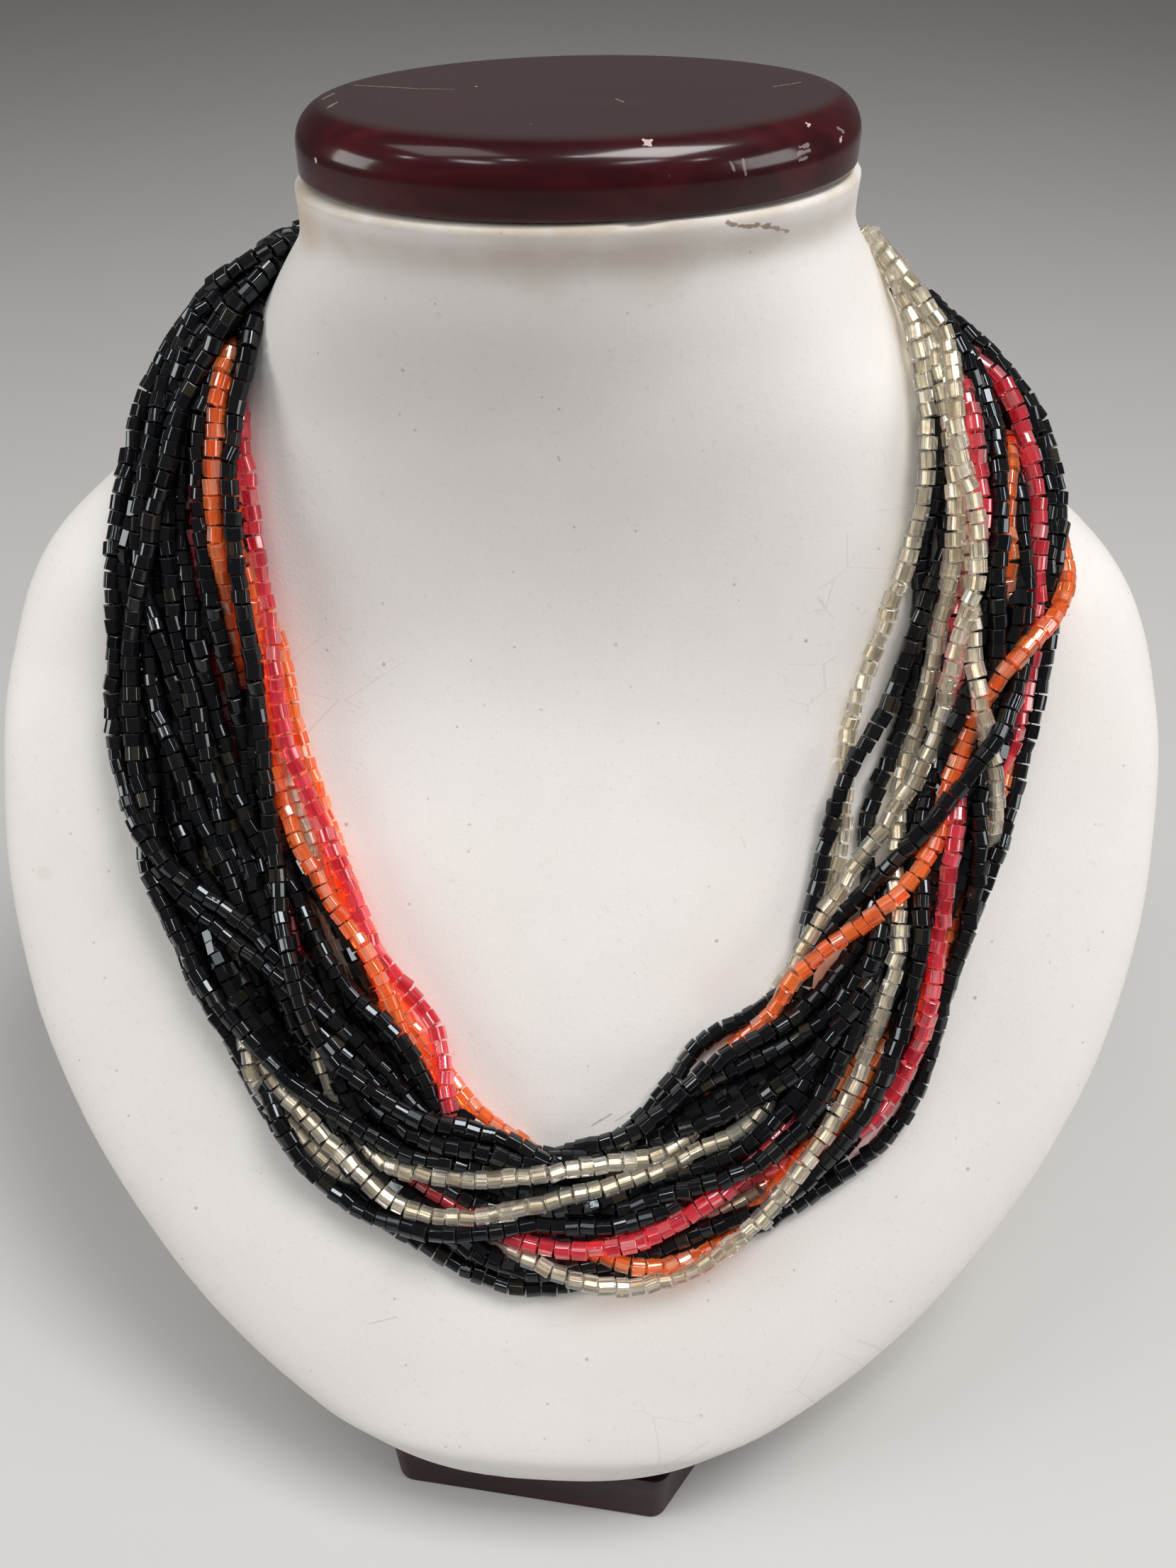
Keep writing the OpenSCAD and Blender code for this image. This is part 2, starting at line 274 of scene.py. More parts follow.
CLEAR_ROUTES = routes("""
290,500,0 265,600 260,700 265,800 280,900 295,1000 315,1100 340,1180 360,1250 395,1350 430,1430 460,1500
490,1570 512,1615 535,1640,1 555,1645 575,1650,2 595,1655 615,1658 635,1662 655,1665 680,1665 700,1665 725,1660
745,1660 765,1660 785,1653 810,1647 835,1643 862,1640 890,1638 920,1640 940,1633,1 960,1610 1000,1570,0
1140,1350 1160,1300 1168,1265 1172,1245 1180,1220 1185,1200 1190,1175 1195,1130 1190,1070 1193,1045,1 1198,1020
1203,995 1212,970 1222,950 1230,925 1240,900 1250,875 1258,850 1267,825 1275,800,2 1284,775 1290,750 1300,720
1305,690 1312,665 1315,645 1312,620 1306,590 1304,560 1303,530 1300,500 1295,470 1288,445,3 1275,415 1262,385
1250,358 1232,342

255,560,0 240,650 235,760 240,860 250,960 262,1060 280,1160 305,1260 330,1350 345,1430 353,1495,1 362,1520
372,1545 385,1565,0 420,1600 480,1650 560,1690 640,1730 700,1755 730,1770,1 748,1780 765,1785,2 785,1798
805,1808 828,1813 850,1817 875,1820 900,1817 925,1810 948,1802 970,1793 990,1783 1010,1770 1030,1758 1050,1745
1065,1730 1080,1712 1095,1695 1110,1675 1125,1655 1140,1635 1152,1617 1165,1598 1178,1580 1190,1560 1200,1540
1212,1520 1220,1500 1228,1475 1233,1455 1240,1435 1248,1415 1255,1395 1260,1375 1265,1355 1268,1340 1270,1320
1270,1300 1268,1280,1 1265,1250,0 1262,1205,1 1266,1185 1268,1160 1262,1135 1268,1115 1270,1095,2 1280,1075
1287,1050 1295,1025 1300,1000 1308,970 1315,945 1320,915 1325,890 1329,862 1335,840 1341,815 1348,790 1352,760
1350,720 1347,680 1345,640 1342,600 1335,565 1325,530,3 1322,500 1315,470 1300,440 1280,405 1260,378,2 1236,358

275,560,0 268,650 265,750 270,850 275,950 285,1050 300,1150 318,1250 340,1350 352,1430 358,1495,1 372,1510
388,1522,2 400,1540 415,1558 430,1575 445,1592 460,1605 475,1620 492,1640 508,1660 525,1675 545,1692 565,1703
585,1710 605,1717 625,1722 650,1722 675,1722 695,1715 715,1710 735,1705 758,1700 780,1693 800,1687 825,1683
850,1675 875,1673 895,1663 915,1655 935,1648 955,1638 975,1625 995,1617 1015,1612 1035,1603 1055,1592 1072,1578
1083,1565,1 1090,1540,0 1095,1500 1100,1450 1110,1400 1122,1368,1 1130,1350,2 1138,1330 1148,1310 1158,1292
1172,1272 1185,1252,3 1200,1232 1213,1212 1228,1195 1243,1172 1258,1150 1270,1130 1287,1110 1300,1090 1310,1070
1320,1045 1328,1018 1334,995 1338,970 1343,940 1348,910 1355,885 1367,860 1377,832 1383,805 1385,780 1382,750
1378,720 1368,690 1358,665 1348,640 1345,610 1347,570 1345,535 1340,505 1335,480 1325,455 1305,430 1285,410
1270,380 1245,349 1228,338

312,540,0 303,620 310,700 326,800 345,880 362,960 382,1020 395,1050,1 405,1080 415,1120 425,1150 438,1178
446,1210 447,1240,0 452,1267,1 464,1293 478,1325 492,1355 505,1383 520,1410 536,1438 575,1500,0 620,1570
700,1650 800,1720 930,1740 1050,1700 1150,1620 1240,1510 1300,1420 1350,1330 1380,1260 1395,1220,1 1398,1195,2
1402,1170 1404,1140 1404,1110 1402,1085 1400,1060,1 1392,1035,2 1387,1010 1378,975 1373,940 1370,905 1368,870,1
1372,820 1360,760 1350,680 1345,600 1335,530,2 1320,480 1300,430 1246,366,1
""")
BLACK_ROUTES = routes("""
395,348,2 345,375 310,405 283,432 262,460 240,492 222,520 208,552 196,585 188,615 182,650 172,690 168,720
165,745 159,780 156,810 160,845 164,875 167,905 164,940 160,985 161,1020 163,1055 170,1085 177,1110 187,1140
196,1165 207,1190 222,1212 243,1232 268,1247 290,1265 315,1282 345,1298,3 362,1318,2 385,1345,1 420,1385
460,1425 500,1470 540,1515 580,1560 620,1600,0 680,1640 760,1680 850,1690 950,1660,1 990,1650 1025,1640,2
1045,1630 1060,1615 1080,1600 1100,1580 1115,1555 1135,1520 1150,1500 1160,1485 1178,1462 1190,1440,1 1215,1400
1225,1370,2 1235,1350 1240,1330 1245,1310,1 1255,1270,0 1275,1200 1305,1090,1 1320,1040,0 1340,960 1360,860
1370,780 1365,700 1360,620 1358,550 1345,490

400,360,2 380,378 360,395 340,420 325,445 310,470 298,495 285,520 272,545 260,570 250,595 243,620 238,645
233,670 228,695 218,718 210,742 208,765 206,790 198,815 193,840 188,865 184,890 183,915 182,945 181,975 183,1000
190,1025 188,1050 185,1075,1 190,1100 200,1125 208,1150 205,1180,2 212,1205 222,1225 235,1245 255,1262 272,1275
290,1295 310,1313 330,1327 350,1342 372,1353 395,1375,1 430,1410 455,1430,2 480,1447 500,1465 520,1482 540,1505
558,1530 580,1555 605,1578,1 640,1605 690,1630 740,1650,0 800,1690 850,1720,1 890,1700,2 930,1690 970,1680
1000,1670 1035,1662 1060,1650 1090,1632 1105,1615 1120,1600 1140,1580 1150,1560 1170,1538 1175,1515 1185,1495
1195,1470 1205,1450,1 1220,1420 1240,1370,0 1260,1300 1290,1200,1 1310,1130 1322,1080,0 1340,1000 1380,930
1385,915,1 1387,880 1385,850 1395,800,0 1395,720 1385,640 1375,570,1 1365,530,2 1358,500 1345,470,1

395,375,1 370,400,2 350,428 335,450 300,480,1 270,500,2 262,530 265,560,1 262,600 262,640,2 260,670 258,700
255,730 252,760 258,785 265,810 268,835 270,862 275,890 282,915 285,940 292,965 298,985 305,1005 310,1025
316,1050 320,1075 328,1100 338,1118 345,1140 352,1165 362,1190,1 375,1205 400,1225,2 410,1245 420,1265 430,1287
440,1310 448,1330 458,1350 472,1372 485,1392 500,1408 520,1425 545,1443 568,1462 578,1483 590,1505 600,1525
612,1550 622,1575,1 640,1600,0 700,1635 760,1650 820,1630,1 860,1612,2 890,1600 915,1590 935,1570 950,1552
965,1535 985,1520 1005,1500 1030,1485 1055,1475 1075,1460 1100,1445 1120,1435 1150,1415 1170,1388 1190,1355
1215,1335,1 1235,1300,0 1240,1250 1215,1215,1 1217,1180 1222,1150 1230,1130 1240,1105 1250,1080 1262,1050
1270,1020 1283,990 1285,960 1295,930 1297,900,0 1300,850 1295,800 1300,760,1 1310,720 1322,690 1325,660 1325,620
1322,580 1317,550,0 1312,505

390,385,1 365,415 340,440 325,470 305,510 295,545 288,575 280,600,2 278,630 280,660 280,690 281,720 283,750
286,775 292,798 297,820 300,845 303,870 310,895 316,920 320,945 328,968 335,990 340,1015 343,1040 348,1065,1
355,1100,0 365,1160 378,1220 395,1290 405,1330,1 410,1360 430,1400 440,1440 470,1475 500,1500 530,1530 570,1570
600,1600 640,1625 680,1632,2 720,1640,1 760,1645 820,1640 870,1610,2 905,1590,1 923,1562,2 935,1545 947,1530
958,1512 970,1495 978,1478 983,1463 1000,1457 1020,1452 1042,1447 1062,1435 1082,1422 1100,1410 1115,1395,1
1130,1365,0 1145,1335 1158,1315,1 1172,1300,2 1190,1287 1207,1272 1225,1255 1240,1240,3 1255,1225 1270,1208
1287,1192 1303,1175 1320,1155 1335,1138 1350,1118 1365,1098 1378,1082 1392,1062 1405,1042 1418,1025 1425,1005
1432,985 1437,965 1441,945 1443,920,1 1447,890,2 1447,865 1445,840 1443,815 1442,790 1440,765 1440,740 1438,715
1435,690 1430,665,1 1422,640 1415,600,0 1400,560 1380,520

380,410,1 368,435 360,460 352,485 345,510 340,535,2 335,560 330,585 326,610 322,635 320,662 322,690 325,715
328,740 332,765 333,790 335,815 340,840 343,865 348,885 352,905 358,930 360,955 362,980 363,1000 368,1020
370,1045 374,1070 373,1095 375,1120 380,1145 384,1170 385,1195 387,1218 392,1240 396,1262 394,1285 395,1305
400,1330 407,1352 413,1375 420,1400 424,1422 430,1445 440,1465 458,1485 475,1500 500,1520 525,1538 545,1555
570,1570 595,1582 618,1590,3 645,1592 672,1593,2 700,1598 725,1610 745,1625 762,1640 785,1650,1 820,1655,0
870,1640 900,1612,1 930,1605,2 960,1597 985,1587 1010,1575 1040,1558 1075,1548 1100,1535 1125,1515 1145,1497
1160,1480 1175,1460 1190,1440 1205,1420 1222,1392,1 1240,1350 1260,1290,0 1290,1200 1318,1110,1 1325,1080
1335,1040,0 1345,960 1365,860 1390,760 1390,680 1380,600,1 1370,560,2 1360,520,1

385,368,2 350,400 325,425 300,450 285,475 272,500 262,530,1 250,560 240,600 230,650 232,700 235,750 238,780,2
240,805 242,830 243,855 246,880 250,905 258,930 263,955 270,975 278,998 282,1020 287,1045 290,1075 295,1100,1
305,1140 320,1190 340,1240 365,1290 380,1330 400,1390,0 430,1450 470,1510 520,1560,1 560,1590 600,1612,2
630,1618 660,1620 690,1624 715,1632 745,1645 775,1655,1 810,1655,0 870,1625,1 920,1600 950,1570 985,1535
1030,1505 1080,1470 1110,1430,0 1130,1370 1140,1310,1 1148,1285 1150,1260 1155,1235 1160,1210 1166,1185
1172,1160 1178,1140,2 1184,1115 1190,1095 1200,1075 1212,1058 1227,1045 1238,1028 1247,1008 1258,985 1266,962
1273,940 1283,918 1292,897 1302,870 1308,845 1316,822 1326,800 1338,780,1 1340,750 1335,720 1335,680 1330,640,0
1325,580 1320,525

378,372,1 345,395 318,415,2 295,435 278,455 262,480 248,505,1 235,535 225,565,2 222,595 215,625 210,655 205,685
200,710 195,735 192,760 192,785,1 200,820 210,850 218,875,2 228,895 235,920 242,945 250,968 258,988 262,1010
268,1035 275,1060,1 285,1100,0 300,1150 340,1230 400,1290 445,1345 482,1400 515,1450 560,1510 620,1590 720,1650
830,1630 900,1600,1 935,1570,2 945,1555 960,1545 990,1525 1015,1515 1050,1500 1075,1495 1105,1480 1130,1465
1155,1445 1180,1425 1205,1395 1225,1370 1250,1330,1 1290,1260,0 1340,1190 1390,1130 1430,1040 1455,950 1470,870
1475,830,1 1477,800 1477,770,2 1478,740 1480,710 1478,680 1474,650 1467,620 1457,590 1440,555 1422,527 1402,507
1378,484 1352,466,1

372,378,2 340,400 312,425,1 285,460 262,495 245,530,2 232,560 222,590,1 205,700,0 200,800 205,880,1 210,900
212,930,2 215,965 218,990 225,1015 235,1035 245,1055 253,1075 260,1095 265,1120 275,1140 288,1155 295,1175
303,1195 315,1215 325,1235 335,1255 350,1285,1 370,1330,0 400,1400 450,1480 500,1545 560,1600,1 620,1640
700,1680,0 800,1710 900,1700 1000,1650 1100,1560 1180,1460 1240,1370 1300,1270 1350,1180,1 1380,1110,0 1400,1000
1420,900 1430,800 1425,700 1405,600 1392,540,1 1370,490

355,390,1 300,440 255,500 225,580 205,680,0 195,800 192,900 200,1000 205,1060 215,1090,1 214,1115 217,1140
215,1165 200,1190 203,1210,2 208,1235 215,1255 228,1275 235,1295 250,1310 262,1330 268,1355 275,1375 290,1398
303,1415 325,1428 340,1450 355,1470 372,1490 390,1508 410,1528 432,1548 455,1560 480,1572 505,1590 530,1602
550,1625 590,1635 640,1640 680,1640 710,1650,1 760,1690,0 850,1720 950,1700 1050,1640 1140,1550 1210,1450
1270,1350 1330,1240 1370,1140 1390,1040 1410,940 1420,840 1425,760 1420,680 1405,600,1 1385,540 1355,478

360,385,1 310,430 268,490 240,570 222,670,0 212,780 215,850 225,900,1 228,950,0 232,1010 236,1080,1 240,1110
247,1140 250,1160 262,1190 270,1215 285,1240 300,1250 330,1300 360,1380,0 400,1480 430,1540 455,1565,1 490,1590
520,1605 580,1650 660,1690 760,1710,0 860,1740 960,1700,1 1060,1650,0 1150,1580 1220,1480 1280,1380 1340,1260
1375,1160 1390,1060 1400,960 1410,860 1415,760 1410,680 1405,600 1380,530

350,395,1 290,455 245,530 215,620 195,720,0 185,840 185,960 195,1080 215,1190 250,1300 300,1400 345,1480
385,1560,2 395,1590 410,1615 425,1640 450,1665 480,1690 510,1710 540,1725 580,1735 620,1742 650,1742 690,1740
720,1732 745,1722 775,1722 800,1728 840,1735,1 870,1730,2 900,1722 930,1715 955,1700 990,1670,1 1060,1640,0
1130,1570 1200,1480 1260,1380 1310,1290 1350,1200 1375,1100 1385,1000 1400,900 1405,800 1400,700 1390,610
1372,530

240,545,0 210,640 190,760 182,880 185,1000 200,1120 230,1240 280,1360 340,1480 400,1600 440,1650 500,1690
560,1725 590,1745,2 605,1758 625,1775 645,1785 665,1795 690,1805 712,1815 740,1820 765,1822 785,1818 810,1805,0
880,1800 950,1780 1010,1750 1060,1735,1 1075,1735 1100,1715 1120,1700 1150,1680 1175,1665 1205,1645,2 1230,1628
1250,1605 1265,1590 1282,1568 1292,1545 1300,1525 1308,1505 1315,1480 1320,1450,1 1325,1410 1335,1385
1345,1365,2 1355,1345 1363,1315 1370,1285 1375,1260 1380,1235 1384,1210 1384,1185 1382,1160 1380,1130 1380,1090
1385,1060,1 1395,1010,0 1405,960 1410,915,2 1408,885 1408,855 1408,825 1408,795 1410,765 1410,735 1408,705
1408,675 1405,650 1405,625 1402,600 1397,580 1390,560 1385,540 1375,515 1365,495 1350,475,1

232,550,0 205,640 185,760 178,880 180,1000 195,1120 225,1230 275,1350 345,1480 420,1600 500,1680 600,1735
720,1780 840,1790 960,1760 1060,1700 1150,1640 1220,1560 1290,1460 1320,1400 1350,1340 1370,1290,1 1390,1240
1403,1210,2 1410,1190 1418,1165 1425,1140 1430,1120 1435,1095 1440,1070 1446,1045 1453,1025 1460,1000 1468,975
1470,945 1474,915 1478,885,1 1483,850 1487,820 1490,790,2 1494,760 1495,730 1494,700 1490,670 1484,640 1475,610
1460,580,1 1440,547 1412,515 1388,494 1365,478

235,565,0 215,660 205,780 205,900 210,1020 225,1130 260,1250 310,1360 380,1490 450,1600 530,1680 600,1720
640,1745,1 660,1760 690,1778 720,1790 750,1795 780,1795 800,1790 830,1787 860,1782 890,1777 915,1772,2 940,1760
965,1742 1000,1733 1030,1722 1060,1715,1 1100,1700 1125,1680 1140,1660,2 1160,1640 1180,1622 1197,1603 1212,1585
1225,1567 1240,1548 1243,1525 1252,1505 1262,1487 1270,1463 1277,1440 1283,1418 1287,1395 1295,1370 1300,1345
1302,1320 1303,1295 1300,1265 1297,1240,1 1310,1200,0 1330,1100 1350,1000 1370,900 1380,800 1375,700 1368,620
1355,540
""")

# %% [markdown]
# The strands that lie under the others are only seen in the gaps. They fill the band between its
# two edges, which are read from the photograph as pairs of pixels: inner edge, then outer edge.

# %% Edges of the band for the lower strands
BAND_EDGES = [numbers(group) for group in """
400,365,318,398 362,450,262,445 352,520,220,525 345,600,190,600 352,700,175,700 372,800,165,800 385,911,170,900
378,1000,170,1010 395,1100,190,1110 425,1180,215,1190 468,1270,240,1275 510,1350,285,1360 535,1430,345,1455
580,1500,400,1560 640,1580,455,1650 764,1650,575,1725 800,1655,720,1790 850,1650,860,1800 905,1620,950,1780
960,1560,1050,1715 1020,1505,1150,1650 1090,1455,1235,1580 1150,1400,1290,1480 1240,1310,1340,1345
1290,1200,1380,1215 1320,1090,1415,1100 1335,960,1450,970 1340,850,1465,850 1350,750,1475,745 1345,650,1465,660
1330,550,1430,560 1310,470,1380,500
""".split()]
LOWER_STRANDS = 6
print("routes:", len(RED_ROUTES), "red,", len(ORANGE_ROUTES), "orange,", len(CLEAR_ROUTES), "clear,",
      len(BLACK_ROUTES), "black and", LOWER_STRANDS, "lower black")

# %% [markdown]
# ## Where the strands lie
#
# A station gives a direction only, so its place in space is the first point on its sight line
# that is as high above the bust as its level says. Near the top of the neck a sight line may miss
# the bust; the strands stand beside it there, so the point closest to the neck is taken, a little
# nearer to the camera for a higher level. The depths are then evened out, because a sight line
# that meets the neck and the next one that passes it lie far apart.

# %% From pixels to places above the bust
BEAD_ACROSS = 2.62                        # widths, heights and lengths of strands are in mm
FIRST_LIFT, LEVEL_STEP = 1.55, 2.3        # height of level 0 over the skin, and of each more
BESIDE_ABOVE, BEHIND_OUTLINE = 470, 4     # pixel row, and mm farther from the camera above it
EVENED_ABOVE, EVENED_PASSES = 700, 6      # pixel row
TRAVEL_FROM, TRAVEL_TO, TRAVEL_STEP = 0.12, 0.45, 0.00015
rng = np.random.default_rng(31)
eye_mm = np.array(eye) / MM


def over_bust(x, y, lift):
    """Place on a sight line at a height above the bust, in mm, or beside the neck near its top."""
    direction = sight_line(x, y)
    nearer = max(lift - FIRST_LIFT, 0)
    if y < BESIDE_ABOVE and bust_tree.ray_cast(eye, direction)[0] is None:
        lift, nearer = 0, nearer - BEHIND_OUTLINE
    travel, closest = TRAVEL_FROM, (1, None)
    while travel < TRAVEL_TO:
        point = eye + direction * travel
        near, normal, index, distance = bust_tree.find_nearest(point)
        if distance < lift * MM or (point - near).dot(normal) < 0:
            return np.array(point) / MM
        if distance < closest[0]:
            closest = (distance, point)
        travel += max(distance - lift * MM, TRAVEL_STEP)
    return np.array(closest[1]) / MM - nearer * np.array(direction)


def evened(places, stations):
    """Evens out the depths near the neck, where one sight line meets the bust and the next misses it."""
    away = np.array(places) - eye_mm
    depth = np.linalg.norm(away, axis=1)
    away /= depth[:, None]
    by_neck = np.array([y < EVENED_ABOVE for x, y, level in stations])
    for _ in range(EVENED_PASSES):
        beside = np.pad(depth, 1, "edge")
        depth = np.where(by_neck, (beside[:-2] + 2 * depth + beside[2:]) / 4, depth)
    return list(eye_mm + away * depth[:, None])


LANE_SWAY, LANE_LOW, LANE_HIGH = 0.16, 0.03, 0.97     # shares of the band's width


def lane_stations(lane, turn_rate, phase):
    """A lower strand's way inside the band, swaying a little from side to side."""
    stations = []
    for i, (x0, y0, x1, y1) in enumerate(BAND_EDGES):
        t = min(max(lane + LANE_SWAY * math.sin(turn_rate * i + phase), LANE_LOW), LANE_HIGH)
        stations.append((x0 + t * (x1 - x0), y0 + t * (y1 - y0), 0.5 + 0.5 * math.sin(0.7 * i + phase)))
    return stations


strands = [{"kind": kind, "stations": stations}
           for kind, found in (("red", RED_ROUTES), ("orange", ORANGE_ROUTES), ("clear", CLEAR_ROUTES),
                               ("black", BLACK_ROUTES)) for stations in found]
for i in range(LOWER_STRANDS):
    lane = lane_stations((i + 0.5) / LOWER_STRANDS, 0.35 + 0.05 * i, 1.9 * i)
    strands.append({"kind": "lower", "stations": lane})
for strand in strands:
    places = [over_bust(x, y, FIRST_LIFT + LEVEL_STEP * level) for x, y, level in strand["stations"]]
    strand["seen"] = evened(places, strand["stations"])
print("strands:", len(strands))

# %% [markdown]
# ## Behind the neck
#
# Nothing is seen there: the strands go round the back in two rows, an upper and a lower one, at
# about the heights in which they leave the view, and gather in the clasp's two bell ends. The top
# of the neck is turned a little with the cap, so the clasp and these places turn with it.

# %% Ends behind the neck
clasp_low, clasp_high = (np.array(v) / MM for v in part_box("clasp"))
clasp_middle = (clasp_low + clasp_high) / 2
CLASP_LEN = 32
CHEST_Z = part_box("neck_bust")[0][2] / MM + 97          # heights of the neck are counted from here
NECK_Y, NECK_HALF_W, NECK_HALF_D = 37, 45, 25
CAP_TURN, TURN_FROM, TURN_TO = math.radians(12), 52, 84
BACK_TURNS, BACK_DROPS = (112, 130, 147), (1.3, 0.8, 0)      # degrees from the front; mm for each layer
LAYERS, BELL_D, BELL_H = 4, 2.7, 8
# heights at the three turns of the highest and of the lowest strand in a row
UPPER_LEFT = ((70, 71.5, 73.5), (61, 64, 67.5))
UPPER_RIGHT = ((70, 72, 74), (65, 68, 71))
LOWER_ROWS = ((62, 66, 70), (48, 54, 61))


def neck_turn(height):
    """Turn of the neck about the vertical at a height: none on the shoulders, the cap's at the top."""
    share = min(max((height - TURN_FROM) / (TURN_TO - TURN_FROM), 0), 1)
    return CAP_TURN * share * share * (3 - 2 * share)


CLASP_TURN = neck_turn(clasp_middle[2] - CHEST_Z)


def behind_neck(side, turn, height, lift):
    """Place round the back of the neck at a turn from the front, in mm."""
    a = math.radians(turn)
    outward = Vector((side * NECK_HALF_W * math.sin(a), -NECK_HALF_D * math.cos(a), 0)).normalized()
    outward.rotate(Matrix.Rotation(neck_turn(height), 3, "Z"))
    middle = Vector((0, NECK_Y, CHEST_Z + height)) * MM
    point, normal, index, distance = bust_tree.ray_cast(middle + outward * 0.15, -outward)
    return np.array(point + normal * lift * MM) / MM


def back_stations(side, end, goes_high, high_rows, low_rows):
    """Leads each strand from where it leaves the view to the clasp, the high ones above the others."""
    high = [goes_high(strand) for strand in strands]
    order = sorted(range(len(strands)), key=lambda i: (not high[i], -strands[i]["seen"][end][2]))
    ways = {}
    for rank, i in enumerate(order):
        rows = high_rows
        place = rank / max(sum(high), 1)
        if not high[i]:
            rows = low_rows
            place = (rank - sum(high)) / (len(order) - sum(high))
        layer = rank % LAYERS
        lift = FIRST_LIFT + LEVEL_STEP * layer
        in_bell = Vector((side * CLASP_LEN / 2, BELL_D * (layer - (LAYERS - 1) / 2),
                          BELL_H * (0.5 - (rank + 0.5) / len(order))))
        in_bell.rotate(Matrix.Rotation(CLASP_TURN, 3, "Z"))
        ways[i] = [behind_neck(side, turn, top + place * (low - top) - drop * layer, lift)
                   for turn, top, low, drop in zip(BACK_TURNS, *rows, BACK_DROPS)] + [clasp_middle + in_bell]
    return ways


left_ways = back_stations(-1, 0, lambda strand: strand["stations"][0][2] >= 1, UPPER_LEFT, LOWER_ROWS)
right_ways = back_stations(1, -1, lambda strand: strand["kind"] == "clear", UPPER_RIGHT, LOWER_ROWS)
for i, strand in enumerate(strands):
    strand["way"] = np.array(left_ways[i][::-1] + strand["seen"] + right_ways[i])
    back = [0] * (len(BACK_TURNS) + 1)
    strand["held"] = np.array(back + [1 if s[2] >= 1 else 0.25 for s in strand["stations"]] + back)

# %% Even spacing along a way
KNOT_STEP = 2.2


def lengths_along(way):
    return np.concatenate([[0], np.cumsum(np.linalg.norm(np.diff(way, axis=0), axis=1))])


def along(way, step, *values):
    """Points at even steps along a way, with other values carried along."""
    reach = lengths_along(way)
    at = np.linspace(0, reach[-1], max(int(round(reach[-1] / step)) + 1, 2))
    points = np.stack([np.interp(at, reach, way[:, k]) for k in range(3)], 1)
    return points, [np.interp(at, reach, v) for v in values]


def softened(points, passes):
    """Takes the corners off a way and leaves its ends in place."""
    points = points.copy()
    for _ in range(passes):
        points[1:-1] += 0.5 * ((points[:-2] + points[2:]) / 2 - points[1:-1])
    return points


for strand in strands:
    fine, (held,) = along(strand["way"], 0.6, strand["held"])
    strand["knots"], (strand["held"],) = along(softened(fine, 26), KNOT_STEP, held)
way_lengths = [round(len(s["knots"]) * KNOT_STEP) for s in strands]
print("longest and shortest way in mm:", max(way_lengths), min(way_lengths))

# %% [markdown]
# ## Letting the strands settle
#
# So many threaded beads can't be laid by hand without some passing through others. The strands
# are relaxed instead: each knot of a strand is kept on the sight line of its pixel, drawn down to
# the bust, pushed off the bust's skin and off the knots of other strands, and kept in line with
# its own neighbours. A cloth or rigid body simulation would do this too, but it would lose the
# places that are known from the photograph.

# %% Relaxing
STEPS = 130
SHAKEN = 0.05                                  # mm, so that no two knots start in one place
FOUND_EVERY, FOUND_WITHIN = 5, BEAD_ACROSS + 0.9
OWN_NEIGHBOURS = 3
DRAWN_DOWN, DRAWN_ABOVE, DRAWN_FULLY = 0.09, 1.2, 2      # mm a step, from this height, fully 2 mm on
SKIN_CLEARANCE = 1.3
# shares of a fault that one step mends
TO_SIGHT_LINE, TO_START, TO_LENGTH, TO_NEIGHBOURS, APART = 0.35, 0.06, 0.15, 0.24, 0.3

knots = np.concatenate([s["knots"] for s in strands])
owner = np.concatenate([[i] * len(s["knots"]) for i, s in enumerate(strands)])
held = np.concatenate([s["held"] for s in strands])
follows = np.nonzero(owner[:-1] == owner[1:])[0]
inner = np.nonzero(owner[:-2] == owner[2:])[0] + 1
ends = np.setdiff1d(np.arange(len(knots)), inner)
lines = knots - eye_mm
lines /= np.linalg.norm(lines, axis=1)[:, None]
start = knots.copy()
knots += rng.normal(0, SHAKEN, knots.shape)


def close_pairs(reach):
    tree = KDTree(len(knots))
    for i, p in enumerate(knots):
        tree.insert(p, i)
    tree.balance()
    pairs = [(i, j) for i, p in enumerate(knots) for _, j, _ in tree.find_range(p, reach)
             if j > i and (owner[i] != owner[j] or j - i > OWN_NEIGHBOURS)]
    return np.array(pairs)


def skin_planes():
    found = [bust_tree.find_nearest(Vector(p) * MM) for p in knots]
    return np.array([f[0] for f in found]) / MM, np.array([f[1] for f in found])


